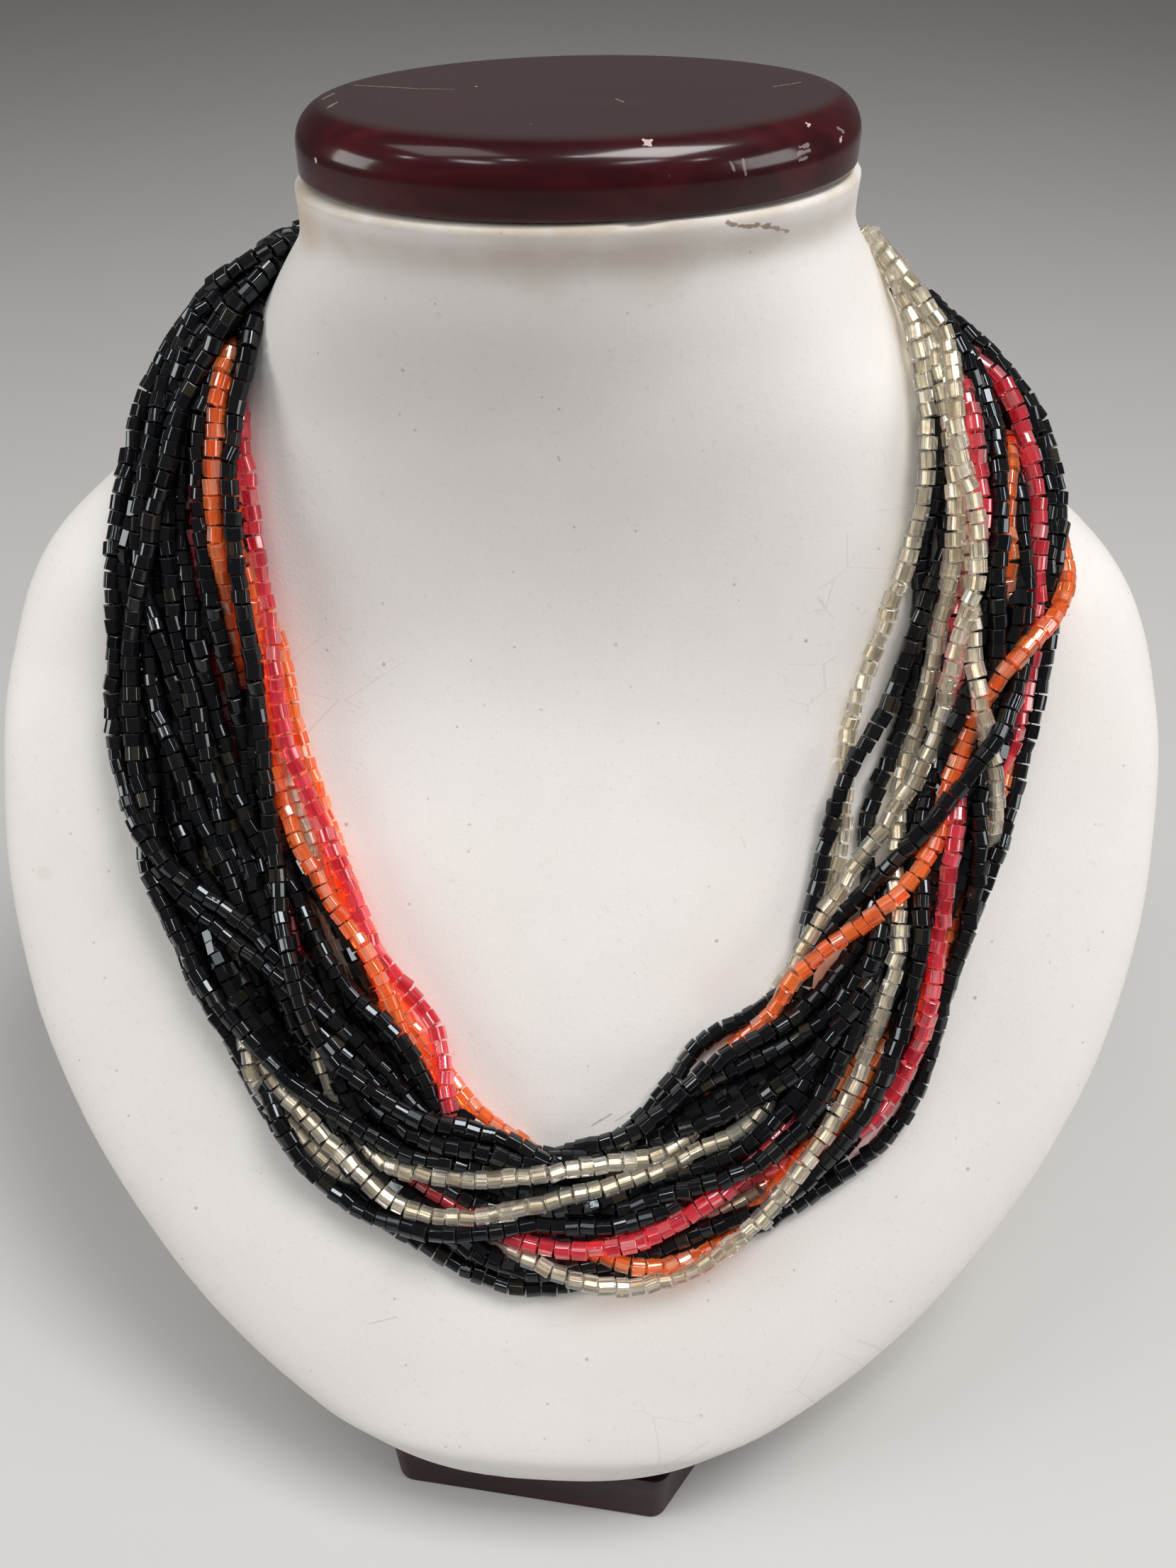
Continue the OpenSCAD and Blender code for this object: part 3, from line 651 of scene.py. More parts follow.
for step in range(STEPS):
    if step % FOUND_EVERY == 0:
        pairs = close_pairs(FOUND_WITHIN)
        foot, normal = skin_planes()
    calm = 1 - step / STEPS
    height = ((knots - foot) * normal).sum(1)
    knots -= normal * (DRAWN_DOWN * calm * np.clip((height - DRAWN_ABOVE) / DRAWN_FULLY, 0, 1))[:, None]
    off = knots - eye_mm
    lateral = off - lines * (off * lines).sum(1)[:, None]
    knots -= lateral * (TO_SIGHT_LINE * held)[:, None]
    knots += (start - knots) * (TO_START * (held == 0))[:, None]
    link = knots[follows + 1] - knots[follows]
    length = np.linalg.norm(link, axis=1)[:, None]
    shift = link / length * (length - KNOT_STEP) * TO_LENGTH
    knots[follows] += shift
    knots[follows + 1] -= shift
    knots[inner] += TO_NEIGHBOURS * ((knots[inner - 1] + knots[inner + 1]) / 2 - knots[inner])
    for _ in range(2):
        apart = knots[pairs[:, 0]] - knots[pairs[:, 1]]
        distance = np.linalg.norm(apart, axis=1)
        touching = distance < BEAD_ACROSS
        push = apart[touching] / distance[touching, None] * (BEAD_ACROSS - distance[touching, None]) * APART
        for k in range(3):
            knots[:, k] += np.bincount(pairs[touching, 0], push[:, k], len(knots))
            knots[:, k] -= np.bincount(pairs[touching, 1], push[:, k], len(knots))
        height = ((knots - foot) * normal).sum(1)
        knots += normal * np.clip(SKIN_CLEARANCE - height, 0, 1)[:, None]
    knots[ends] = start[ends]
apart = np.linalg.norm(knots[pairs[:, 0]] - knots[pairs[:, 1]], axis=1)
print("knots:", len(knots), "closest to the bust:", round(height.min(), 2), "mm; pairs nearer than 2 mm:",
      int((apart < 2).sum()), "of", len(pairs))

for i, strand in enumerate(strands):
    fine = along(softened(knots[owner == i], 2), 0.4)[0]
    strand["line"] = softened(fine, 8)

# %% [markdown]
# ## One bead
#
# A bead is a short length cut from a drawn six-sided glass tube, so its walls are flat, its ends
# are sharp and it has a round hole. It starts as a six-sided cylinder. Its long edges are beveled,
# an inset with a small depth breaks the end edges, and a second inset on both ends is bridged to
# make the hole. The walls are shaded smooth with weighted normals, so the flats stay flat and
# each edge draws a fine line of light. Thousands of copies are needed, so it has few faces, and
# the strands that lie hidden under the others get a plainer one.

# %% Bead
HOLE_ACROSS, LONG_EDGE, END_EDGE = 0.36, 0.08, 0.035      # shares of the bead's width


def cut_bead(across, hole, edge, end_edge):
    """A six-sided bead of unit length along Z, with its long and end edges broken."""
    bpy.ops.object.select_all(action="DESELECT")
    bpy.ops.mesh.primitive_cylinder_add(vertices=6, radius=across / 2, depth=1 - 2 * end_edge)
    bead = bpy.context.object
    start_edit(bead, "EDGE")
    if edge:
        select_parts(bead, "edges", lambda e: abs(e.verts[0].co.z - e.verts[1].co.z) > 0.9)
        bpy.ops.mesh.bevel(offset=edge, segments=1, affect="EDGES")
    bpy.ops.mesh.select_mode(type="FACE")
    select_parts(bead, "faces", lambda face: abs(face.normal.z) > 0.9)
    if end_edge:
        bpy.ops.mesh.inset(thickness=end_edge, depth=end_edge)
    bpy.ops.mesh.inset(thickness=(across - hole) / 2 * math.cos(math.radians(30)) - end_edge, depth=0)
    bpy.ops.mesh.bridge_edge_loops()
    bpy.ops.mesh.select_all(action="SELECT")
    bpy.ops.mesh.normals_make_consistent(inside=False)
    select_parts(bead, "faces", lambda face: abs(face.normal.z) < 0.3)
    if edge:
        bpy.ops.mesh.faces_shade_smooth()
    end_edit()
    level_normals(bead)
    print("bead:", len(bead.data.vertices), "points,", len(bead.data.polygons), "faces,",
          sum(len(f.vertices) - 2 for f in bead.data.polygons), "triangles")
    return bead


shown_bead = cut_bead(1, HOLE_ACROSS, LONG_EDGE, END_EDGE)
lower_bead = cut_bead(1, HOLE_ACROSS, 0, 0)

# %% [markdown]
# ## Threading the beads
#
# Beads of one real strand differ a little in length and width, sit turned at random on the
# thread and lean a little to one side, and that unevenness makes the sparkle. So each copy gets
# its own size, turn and lean. The copies of one colour are joined in one mesh, the black ones in
# three, and each face keeps the random tone of its bead for the material.

# %% Threading
BARE_THREAD = 7                       # mm of thread without beads at each end
SIZES = {                             # width and pitch in mm, share of the pitch that is glass
    "black": (3.08, 2.36, 0.91), "red": (3.1, 2.42, 0.87), "orange": (3.1, 2.38, 0.87),
    "clear": (3.15, 2.4, 0.88), "lower": (3.0, 2.4, 0.93)}
# spread, least and most of the random factors of length, width, and depth against width
LENGTHS, WIDTHS, DEPTHS = (0.1, 0.72, 1.3), (0.05, 0.86, 1.12), (0.04, 0.9, 1.1)
SPARE = 1.3                           # more lengths are drawn than can fit
LEAN, ASIDE = 0.09, 0.11              # spread of the direction, and of the place in mm
SHOWN_PER_PIECE = 1150


def varied(count, spread, least, most):
    """Random factors about 1."""
    return np.clip(rng.normal(1, spread, count), least, most)


def bead_places(strand, pitch):
    """Middles, directions and lengths of the beads along a strand."""
    line = strand["line"]
    reach = lengths_along(line)
    lengths = pitch * varied(int(reach[-1] / pitch * SPARE), *LENGTHS)
    stops = BARE_THREAD + np.concatenate([[0], np.cumsum(lengths)])
    fits = stops[1:] < reach[-1] - BARE_THREAD
    a, b = (np.stack([np.interp(at[fits], reach, line[:, k]) for k in range(3)], 1)
            for at in (stops[:-1], stops[1:]))
    long = np.linalg.norm(b - a, axis=1)
    return (a + b) / 2, (b - a) / long[:, None], long


def turned(direction, spin):
    """Frames whose third axis follows the direction, spun at random and leaning a little."""
    along_z = direction + rng.normal(0, LEAN, direction.shape)
    along_z /= np.linalg.norm(along_z, axis=1)[:, None]
    helper = np.where(np.abs(along_z[:, 2:3]) < 0.9, [[0, 0, 1.0]], [[1.0, 0, 0]])
    side = np.cross(helper, along_z)
    side /= np.linalg.norm(side, axis=1)[:, None]
    other = np.cross(along_z, side)
    c, s = np.cos(spin)[:, None], np.sin(spin)[:, None]
    return np.stack([c * side + s * other, c * other - s * side, along_z], 1)


def joined_copies(name, source, middles, frames, sizes, tones):
    """One mesh of many placed copies of a small mesh, with its normals."""
    shape = np.array([v.co for v in source.data.vertices])
    loops = np.array([i for face in source.data.polygons for i in face.vertices])
    totals = np.array([len(face.vertices) for face in source.data.polygons])
    at_end = np.array([abs(face.normal.z) > 0.3 for face in source.data.polygons], float)
    leaning = np.array([n.vector for n in source.data.corner_normals])
    count = len(middles)
    points = middles[:, None, :] + np.einsum("bvk,bkc->bvc", shape[None] * sizes[:, None, :], frames)
    mesh = bpy.data.meshes.new(name)
    mesh.vertices.add(count * len(shape))
    mesh.vertices.foreach_set("co", (points * MM).ravel())
    mesh.loops.add(count * len(loops))
    corners = loops[None] + np.arange(count)[:, None] * len(shape)
    mesh.loops.foreach_set("vertex_index", corners.ravel().astype(np.int32))
    mesh.polygons.add(count * len(totals))
    all_totals = np.tile(totals, count)
    starts = np.concatenate([[0], np.cumsum(all_totals)[:-1]])
    mesh.polygons.foreach_set("loop_start", starts.astype(np.int32))
    mesh.polygons.foreach_set("loop_total", all_totals.astype(np.int32))
    mesh.update(calc_edges=True)
    for label, values in (("bead_tone", np.repeat(tones, len(totals))), ("cut_end", np.tile(at_end, count)),
                          ("facet_tone", rng.random(count * len(totals)))):
        mesh.attributes.new(label, "FLOAT", "FACE").data.foreach_set("value", values.astype(np.float32))
    outward = np.einsum("lk,bkc->blc", leaning, frames)
    mesh.normals_split_custom_set(outward.reshape(-1, 3).tolist())
    piece = bpy.data.objects.new(name, mesh)
    bpy.context.scene.collection.objects.link(piece)
    return piece


pieces, threaded = {}, {}
for kind, (across, pitch, glass_share) in SIZES.items():
    found = [bead_places(s, pitch) for s in strands if s["kind"] == kind]
    middles, directions, lengths = (np.concatenate([f[k] for f in found]) for k in range(3))
    count = len(middles)
    frames = turned(directions, rng.uniform(0, math.tau, count))
    wide = across * varied(count, *WIDTHS)
    sizes = np.stack([wide, wide * varied(count, *DEPTHS), lengths * glass_share], 1)
    for axis in (0, 1):
        middles = middles + frames[:, axis] * rng.normal(0, ASIDE, count)[:, None]
    tones_of_beads = rng.random(count)
    threaded[kind] = (middles, frames, sizes, tones_of_beads)
    parts = 1 if kind == "lower" else math.ceil(count / SHOWN_PER_PIECE)
    for k in range(parts):
        some = slice(k * count // parts, (k + 1) * count // parts)
        name = f"{kind}_strands" + (f"_{k + 1}" if parts > 1 else "")
        piece = joined_copies(name, lower_bead if kind == "lower" else shown_bead,
                              *(values[some] for values in threaded[kind]))
        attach(piece, "root")
        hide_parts(*ROPES)
        pieces[name] = piece
    print(kind, "beads:", count, "in", parts, "pieces")

# %% [markdown]
# ## Linings and threads
#
# The clear beads have a pale metal lining in the hole, which is what gives them their soft
# champagne shine. It is a thin round rod in each hole here. A strand's thread shows only where it
# leaves the last bead and runs into the clasp, but it is made over its whole length: a fine curve
# with a round section, turned into a mesh.

# %% Linings
bpy.ops.object.select_all(action="DESELECT")
bpy.ops.mesh.primitive_cylinder_add(vertices=8, radius=0.5, depth=1, end_fill_type="NGON")
rod = bpy.context.object
start_edit(rod, "FACE")
select_parts(rod, "faces", lambda face: abs(face.normal.z) > 0.9)
bpy.ops.mesh.inset(thickness=0.2, depth=0)
end_edit()
LINING_SHARES = (0.38, 0.38, 0.86)      # of the bead's width, depth and length
middles, frames, sizes, tones_of_beads = threaded["clear"]
lining = joined_copies("clear_linings", rod, middles, frames, sizes * LINING_SHARES, tones_of_beads)
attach(lining, "root")
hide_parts(*ROPES)

# %% Threads
THREAD_ACROSS, EVERY = 0.36, 6
curve = bpy.data.curves.new("threads", "CURVE")
curve.dimensions = "3D"
curve.bevel_depth = THREAD_ACROSS / 2 * MM
curve.bevel_resolution = 0
curve.use_fill_caps = True
for strand in strands:
    points = np.concatenate([strand["line"][::EVERY], strand["line"][-1:]]) * MM
    spline = curve.splines.new("POLY")
    spline.points.add(len(points) - 1)
    spline.points.foreach_set("co", np.concatenate([points, np.ones((len(points), 1))], 1).ravel())
threads = bpy.data.objects.new("threads", curve)
bpy.context.scene.collection.objects.link(threads)
pick(threads)
bpy.ops.object.convert(target="MESH")
threads = bpy.context.object
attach(threads, "root")
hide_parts(*ROPES)
for helper in (shown_bead, lower_bead, rod):
    bpy.data.objects.remove(helper)
print("threads:", len(threads.data.polygons), "faces")

# %% [markdown]
# ## Cap and foot
#
# The cap is an oval board with a large round upper edge and a smaller lower one. A cylinder is
# scaled to the oval first and its edges are beveled after, so that both roundings keep one
# radius all the way round, as a router cuts them.

# %% Cap
cap_low, cap_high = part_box("bust_cap")
CAP_W, CAP_D = 80.4 * MM, 50.8 * MM
cap_size = Vector((CAP_W, CAP_D, (cap_high - cap_low).z))
cap_middle = (cap_high + cap_low) / 2
CAP_ROUND, CAP_UNDER = 5.4 * MM, 0.9 * MM
bpy.ops.object.select_all(action="DESELECT")
bpy.ops.mesh.primitive_cylinder_add(vertices=144, radius=0.5, depth=1, location=cap_middle)
cap = bpy.context.object
cap.name = "cap_board"
cap.scale = cap_size
cap.rotation_euler.z = CAP_TURN
settle_place(cap)
start_edit(cap, "EDGE")
select_parts(cap, "edges", lambda e: all(v.co.z > cap_high.z - MM for v in e.verts))
bpy.ops.mesh.bevel(offset=CAP_ROUND, segments=10, affect="EDGES")
select_parts(cap, "edges", lambda e: all(v.co.z < cap_low.z + 0.01 * MM for v in e.verts))
bpy.ops.mesh.bevel(offset=CAP_UNDER, segments=5, affect="EDGES")
end_edit()
smooth_shade(cap, 40)
level_normals(cap)
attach(cap, "root")
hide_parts("bust_cap")
print("cap:", len(cap.data.polygons), "faces, size in mm", [round(v / MM, 1) for v in cap_size])

# %% [markdown]
# The foot is a block whose corners are cut back at a splay. A bevel cuts a corner at 45 degrees,
# so the block is beveled while it is short and then stretched to its depth, which turns the cut
# to the real splay. Its upright edges are rounded next, and the top and bottom edges are broken.

# %% Foot
FOOT_FRONT_W, FOOT_W, FOOT_D, FOOT_H = 47.7 * MM, 74.2 * MM, 108 * MM, 16.8 * MM
FOOT_TURN = math.radians(-5.3)
FOOT_FRONT = Vector((-3.3, -71.0, 0)) * MM
FOOT_ROUND, FOOT_BROKEN = 1.7 * MM, 0.7 * MM
CUT, SPLAY = (FOOT_W - FOOT_FRONT_W) / 2, math.radians(30)
STRETCH = 1 / math.tan(SPLAY)
bpy.ops.object.select_all(action="DESELECT")
bpy.ops.mesh.primitive_cube_add(size=1)
foot_block = bpy.context.object
foot_block.name = "foot_block"
foot_block.scale = (FOOT_W, FOOT_D / STRETCH, FOOT_H)
settle_place(foot_block)


def upright(e):
    return abs((e.verts[0].co - e.verts[1].co).z) > FOOT_H * 0.8


start_edit(foot_block, "EDGE")
select_parts(foot_block, "edges", upright)
bpy.ops.mesh.bevel(offset=CUT, segments=1, affect="EDGES")
bpy.ops.mesh.select_all(action="SELECT")
bpy.ops.transform.resize(value=(1, STRETCH, 1))
select_parts(foot_block, "edges", upright)
bpy.ops.mesh.bevel(offset=FOOT_ROUND, segments=6, affect="EDGES")
select_parts(foot_block, "edges", lambda e: abs(e.verts[0].co.z - e.verts[1].co.z) < 0.1 * MM
             and len({round(f.normal.z) for f in e.link_faces}) > 1)
bpy.ops.mesh.bevel(offset=FOOT_BROKEN, segments=3, affect="EDGES")
end_edit()
foot_block.rotation_euler.z = FOOT_TURN
foot_block.location = FOOT_FRONT + Matrix.Rotation(FOOT_TURN, 3, "Z") @ Vector((0, FOOT_D / 2, FOOT_H / 2))
settle_place(foot_block)
smooth_shade(foot_block, 50)
level_normals(foot_block)
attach(foot_block, "root")
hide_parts("bust_foot")

# %% [markdown]
# ## Clasp
#
# The closing behind the neck is hidden in the photograph. It is turned work: two bell ends and a
# ribbed barrel. A circle is extruded and resized step by step along its axis, the way a profile
# is turned on a lathe.

# %% Clasp
# places from one end and radii, in mm, up to the middle; the other half mirrors them
TURNED_HALF = [(0, 5.4), (0, 6.1), (0.5, 6.5), (1.8, 6.5), (2.3, 6.2), (4.5, 5.2), (8.0, 4.5), (10.0, 4.2),
               (10.4, 3.7), (11.0, 3.7), (11.4, 4.2), (12.6, 4.2), (13.0, 3.8), (13.6, 3.8), (14.0, 4.2),
               (15.4, 4.2), (15.7, 3.6), (16.0, 3.6)]
turned_steps = TURNED_HALF + [(CLASP_LEN - at, radius) for at, radius in TURNED_HALF[-2::-1]]


def on_axis(at):
    """Place on the clasp's axis at a distance in mm from its end."""
    return Vector(clasp_middle * MM) + Vector(((at - CLASP_LEN / 2) * MM, 0, 0))


bpy.ops.object.select_all(action="DESELECT")
bpy.ops.mesh.primitive_circle_add(vertices=48, radius=turned_steps[0][1] * MM, fill_type="NGON",
                                  location=on_axis(0), rotation=(0, math.pi / 2, 0))
clasp = bpy.context.object
clasp.name = "turned_clasp"
settle_place(clasp)
start_edit(clasp, "FACE")
bpy.ops.mesh.select_all(action="SELECT")
for (at, radius), (next_at, next_radius) in zip(turned_steps, turned_steps[1:]):
    bpy.ops.mesh.extrude_region_move(TRANSFORM_OT_translate={"value": ((next_at - at) * MM, 0, 0)})
    bpy.ops.transform.resize(value=(1, next_radius / radius, next_radius / radius),
                             center_override=on_axis(next_at))
bpy.ops.mesh.select_all(action="SELECT")
bpy.ops.mesh.remove_doubles(threshold=0.002 * MM)
bpy.ops.mesh.normals_make_consistent(inside=False)
end_edit()
about = Matrix.Translation(clasp_middle * MM)
clasp.matrix_world = about @ Matrix.Rotation(CLASP_TURN, 4, "Z") @ about.inverted()
settle_place(clasp)
smooth_shade(clasp, 32)
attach(clasp, "root")
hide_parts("clasp")
print("clasp:", len(clasp.data.polygons), "faces")

# %% [markdown]
# ## Building materials
#
# Each finish is a small node tree around one Principled shader. A few helpers keep the code
# short: they add a node and fill or link its sockets, mix two colours by a mask, or make noise and
# relief. Effects that several finishes share are node groups with named inputs: fine grain for
# the relief, sparse specks, and hair-thin scratches.

# %% Node helpers
def fill(tree, socket, value):
    """Links a socket to another node's output, or gives it a value."""
    if isinstance(value, bpy.types.NodeSocket):
        tree.links.new(value, socket)
    else:
        socket.default_value = value


def put(tree, kind, sockets=None, **settings):
    """Adds a node; a socket takes a value or a link from another node's output."""
    node = tree.nodes.new("ShaderNode" + kind)
    for key, value in settings.items():
        setattr(node, key, value)
    for key, value in (sockets or {}).items():
        fill(tree, node.inputs[key], value)
    return node


def sums(tree, operation, a, b):
    return put(tree, "Math", {0: a, 1: b}, operation=operation).outputs[0]


def times(tree, a, b):
    return sums(tree, "MULTIPLY", a, b)


def mixed(tree, mask, below, above, strength=None):
    """Colour or value below the mask, and above it; a strength weakens the mask."""
    if strength is not None:
        mask = times(tree, mask, strength)
    coloured = isinstance(below, tuple) or getattr(below, "type", "") == "RGBA"
    node = put(tree, "Mix", data_type="RGBA" if coloured else "FLOAT")
    what = "Color" if coloured else "Float"
    find = {s.identifier: s for s in (*node.inputs, *node.outputs)}
    for key, value in (("Factor_Float", mask), ("A_" + what, below), ("B_" + what, above)):
        fill(tree, find[key], value)
    return find["Result_" + what]


def ramp(tree, value, low, high, out_low=0.0, out_high=1.0):
    """Smooth step from one value to another."""
    return put(tree, "MapRange", {"Value": value, "From Min": low, "From Max": high, "To Min": out_low,
                                  "To Max": out_high}, interpolation_type="SMOOTHSTEP").outputs["Result"]


def noise(tree, place, scale, detail=2.0, **more):
    return put(tree, "TexNoise", {"Vector": place, "Scale": scale, "Detail": detail, **more}).outputs["Fac"]


def apart_by(tree, a, b):
    return put(tree, "VectorMath", {0: a, 1: b}, operation="DISTANCE").outputs["Value"]


def torn(tree, place, distance, scale, ragged):
    """A distance in metres made uneven by noise, for torn edges."""
    uneven = sums(tree, "SUBTRACT", noise(tree, place, scale, 4.0), 0.5)
    return sums(tree, "ADD", distance, times(tree, uneven, 2 * ragged))


def upright_place(tree, place):
    return put(tree, "SeparateXYZ", {"Vector": place}).outputs["Z"]


def bumped(tree, height, strength, distance):
    """Normal of a fine relief of this depth in metres."""
    return put(tree, "Bump", {"Height": height, "Strength": strength, "Distance": distance}).outputs[0]


def start_finish(name):
    material = bpy.data.materials.new(name)
    material.use_nodes = True
    tree = material.node_tree
    tree.nodes.clear()
    return material, tree, put(tree, "TexCoord").outputs["Object"]


def principled(tree, colour, roughness, sockets):
    return put(tree, "BsdfPrincipled", {"Base Color": colour, "Roughness": roughness, **sockets}).outputs[0]


def end_finish(tree, shader):
    put(tree, "OutputMaterial", {"Surface": shader})


def new_group(name, inputs, output):
    """A node group with a vector and some numbers as inputs, and one number as output."""
    group = bpy.data.node_groups.new(name, "ShaderNodeTree")
    group.interface.new_socket("Vector", in_out="INPUT", socket_type="NodeSocketVector")
    for label, value in inputs.items():
        group.interface.new_socket(label, in_out="INPUT", socket_type="NodeSocketFloat").default_value = value
    group.interface.new_socket(output, in_out="OUTPUT", socket_type="NodeSocketFloat")
    return group, group.nodes.new("NodeGroupInput").outputs, group.nodes.new("NodeGroupOutput").inputs[output]


def use_group(tree, group, sockets):
    return put(tree, "Group", sockets, node_tree=group).outputs[0]


# %% Shared effects
specks, given, out = new_group("specks", {"Scale": 100.0, "Size": 0.1, "Share": 0.2}, "Mask")
cells = put(specks, "TexVoronoi", {"Vector": given["Vector"], "Scale": given["Scale"]})
draw = put(specks, "SeparateColor", {"Color": cells.outputs["Color"]}).outputs["Red"]
few = sums(specks, "LESS_THAN", draw, given["Share"])
near = sums(specks, "SUBTRACT", 1.0, sums(specks, "DIVIDE", cells.outputs["Distance"], given["Size"]))
specks.links.new(times(specks, few, put(specks, "Clamp", {"Value": near}).outputs[0]), out)

LENGTHWAYS = (0.09, 1.0, 1.0)
scratches, given, out = new_group("scratches", {"Scale": 40.0, "Share": 0.02, "Turn": 0.0}, "Mask")
turn = put(scratches, "CombineXYZ", {"Z": given["Turn"], "X": given["Turn"]}).outputs[0]
drawn = put(scratches, "VectorRotate", {"Vector": given["Vector"], "Rotation": turn}, rotation_type="EULER_XYZ")
long_way = put(scratches, "VectorMath", {0: drawn.outputs[0], 1: LENGTHWAYS}, operation="MULTIPLY").outputs[0]
wander = noise(scratches, given["Vector"], times(scratches, given["Scale"], 0.15))
hairs = put(scratches, "TexVoronoi", {"Vector": long_way, "Scale": given["Scale"]}, feature="DISTANCE_TO_EDGE")
thin = sums(scratches, "LESS_THAN", hairs.outputs["Distance"], given["Share"])
scratches.links.new(times(scratches, thin, sums(scratches, "GREATER_THAN", wander, 0.62)), out)

grain, given, out = new_group("grain", {"Scale": 400.0, "Pits": 0.3}, "Height")
coarse = noise(grain, given["Vector"], given["Scale"], 5.0)
pits = put(grain, "TexVoronoi", {"Vector": given["Vector"], "Scale": given["Scale"]}).outputs["Distance"]
grain.links.new(sums(grain, "ADD", coarse, times(grain, pits, given["Pits"])), out)
print("shared effects:", specks.name, scratches.name, grain.name)

# %% [markdown]
# ## The bust's covering
#
# The covering is a matt off-white leather cloth with a very fine grain. It has yellowed under the
# cap's lip, where painted shade also darkens the band below the overhang, and years on show have
# left brown specks, hairline scratches, a scuff on the rim and a few stains; two soft spots below
# the lip are painted shade too. The marks sit where they are in the photograph: each is a soft spot,
# or a line with torn edges, at a place that is found along its sight line.

# %% Covering
SPECK_KINDS = (      # scale, size, share, colour
    (160.0, 0.07, 0.22, (0.30, 0.22, 0.16, 1)),
    (420.0, 0.13, 0.13, (0.42, 0.35, 0.29, 1)),
    (60.0, 0.035, 0.25, (0.36, 0.25, 0.15, 1)),
)
STAINS_AND_SHADE = (           # pixel, radius in mm, strength, colour
    (62, 1232, 2.0, 0.12, (0.42, 0.33, 0.24, 1)),
    (425, 300, 8.0, 0.5, (0.58, 0.47, 0.32, 1)),
    # This spot and the next are painted shade: the soft brown band below the lip, where its shadow falls.
    (760, 345, 9.0, 0.35, (0.55, 0.47, 0.38, 1)),
    (930, 342, 10.0, 0.35, (0.55, 0.47, 0.38, 1)),
)
SCUFFS = (           # pixels of both ends, width in mm, how torn, strength, colour
    (1025, 314, 1050, 319, 0.5, 1.3, 0.85, (0.26, 0.18, 0.12, 1)),
    (1048, 318, 1082, 319, 0.75, 1.3, 0.85, (0.26, 0.18, 0.12, 1)),
    (1082, 320, 1112, 326, 0.5, 1.3, 0.8, (0.30, 0.22, 0.16, 1)),
    (835, 1588, 862, 1572, 0.35, 0.5, 0.6, (0.36, 0.33, 0.31, 1)),
    (868, 1582, 890, 1568, 0.25, 0.5, 0.5, (0.36, 0.33, 0.31, 1)),
    (520, 1868, 560, 1858, 0.25, 0.5, 0.35, (0.40, 0.36, 0.33, 1)),
    (1045, 1180, 1052, 1195, 0.2, 0.5, 0.35, (0.40, 0.36, 0.33, 1)),
)
RIM_LOW, RIM_HIGH, RIM_TOP, LIP_LOW, LIP_HIGH = ((CHEST_Z + above) * MM
                                                 for above in (78.2, 83.0, 85.5, 84.6, 86.4))
ON_SKIN = 0.05       # mm over the skin


def on_bust(x, y):
    """Place on the bust that a pixel of the photograph shows, in metres."""
    return Vector(over_bust(x, y, ON_SKIN)) * MM


def mark(tree, place, centre, radius):
    """Soft spot round a place."""
    distance = torn(tree, place, apart_by(tree, place, centre), 0.9 / radius, 0.5 * radius)
    return ramp(tree, distance, radius, 0.25 * radius)


def stroke(tree, place, begin, stop, width, ragged):
    """Line between two places, with torn edges."""
    way = stop - begin
    along_it = put(tree, "VectorMath", {0: place, 1: begin}, operation="SUBTRACT").outputs[0]
    share = put(tree, "VectorMath", {0: along_it, 1: way}, operation="DOT_PRODUCT").outputs["Value"]
    share = put(tree, "Clamp", {"Value": sums(tree, "DIVIDE", share, way.length_squared)}).outputs[0]
    nearest = put(tree, "VectorMath", {0: way, "Scale": share}, operation="SCALE").outputs[0]
    distance = torn(tree, place, apart_by(tree, along_it, nearest), 0.5 / width, ragged * width)
    return ramp(tree, distance, 0.6 * width, 0.3 * width)


covering, tree, place = start_finish("covering")
cloud = noise(tree, place, 22.0, 6.0, Roughness=0.6)
colour = mixed(tree, ramp(tree, cloud, 0.3, 0.7), (0.83, 0.805, 0.785, 1), (0.78, 0.75, 0.725, 1))
fine = noise(tree, place, 900.0, 3.0)
colour = mixed(tree, ramp(tree, fine, 0.6, 0.75, 0, 0.25), colour, (0.62, 0.57, 0.52, 1))
height = upright_place(tree, place)
dirt = noise(tree, place, 140.0, 5.0)
# Band below the lip: partly yellowed dirt, partly painted shade where the lip overhangs the neck.
yellowing_and_lip_shade = times(tree, ramp(tree, height, RIM_LOW, RIM_HIGH), ramp(tree, height, RIM_TOP, RIM_HIGH))
colour = mixed(tree, yellowing_and_lip_shade, colour, (0.52, 0.45, 0.36, 1), ramp(tree, dirt, 0.3, 0.7, 0.25, 0.55))
for scale, size, share, tint in SPECK_KINDS:
    dots = use_group(tree, specks, {"Vector": place, "Scale": scale, "Size": size, "Share": share})
    colour = mixed(tree, dots, colour, tint, 0.9)
hair = use_group(tree, scratches, {"Vector": place, "Scale": 110.0, "Share": 0.008, "Turn": 0.6})
colour = mixed(tree, hair, colour, (0.46, 0.42, 0.39, 1), 0.2)
lip_top = ramp(tree, height, LIP_LOW, LIP_HIGH)
colour = mixed(tree, lip_top, colour, (0.60, 0.49, 0.34, 1), ramp(tree, dirt, 0.35, 0.65, 0.05, 0.55))
for x, y, radius, strength, tint in STAINS_AND_SHADE:
    colour = mixed(tree, mark(tree, place, on_bust(x, y), radius * MM), colour, tint, strength)
for x0, y0, x1, y1, width, ragged, strength, tint in SCUFFS:
    line = stroke(tree, place, on_bust(x0, y0), on_bust(x1, y1), width * MM, ragged)
    colour = mixed(tree, line, colour, tint, strength)
relief = use_group(tree, grain, {"Vector": place, "Scale": 1500.0, "Pits": 0.5})
relief = sums(tree, "SUBTRACT", relief, times(tree, hair, 0.2))
end_finish(tree, principled(tree, colour, ramp(tree, cloud, 0.2, 0.8, 0.48, 0.6), {
    "Normal": bumped(tree, relief, 0.25, 0.12 * MM), "Specular IOR Level": 0.35, "Sheen Weight": 0.08}))
bust.data.materials.append(covering)

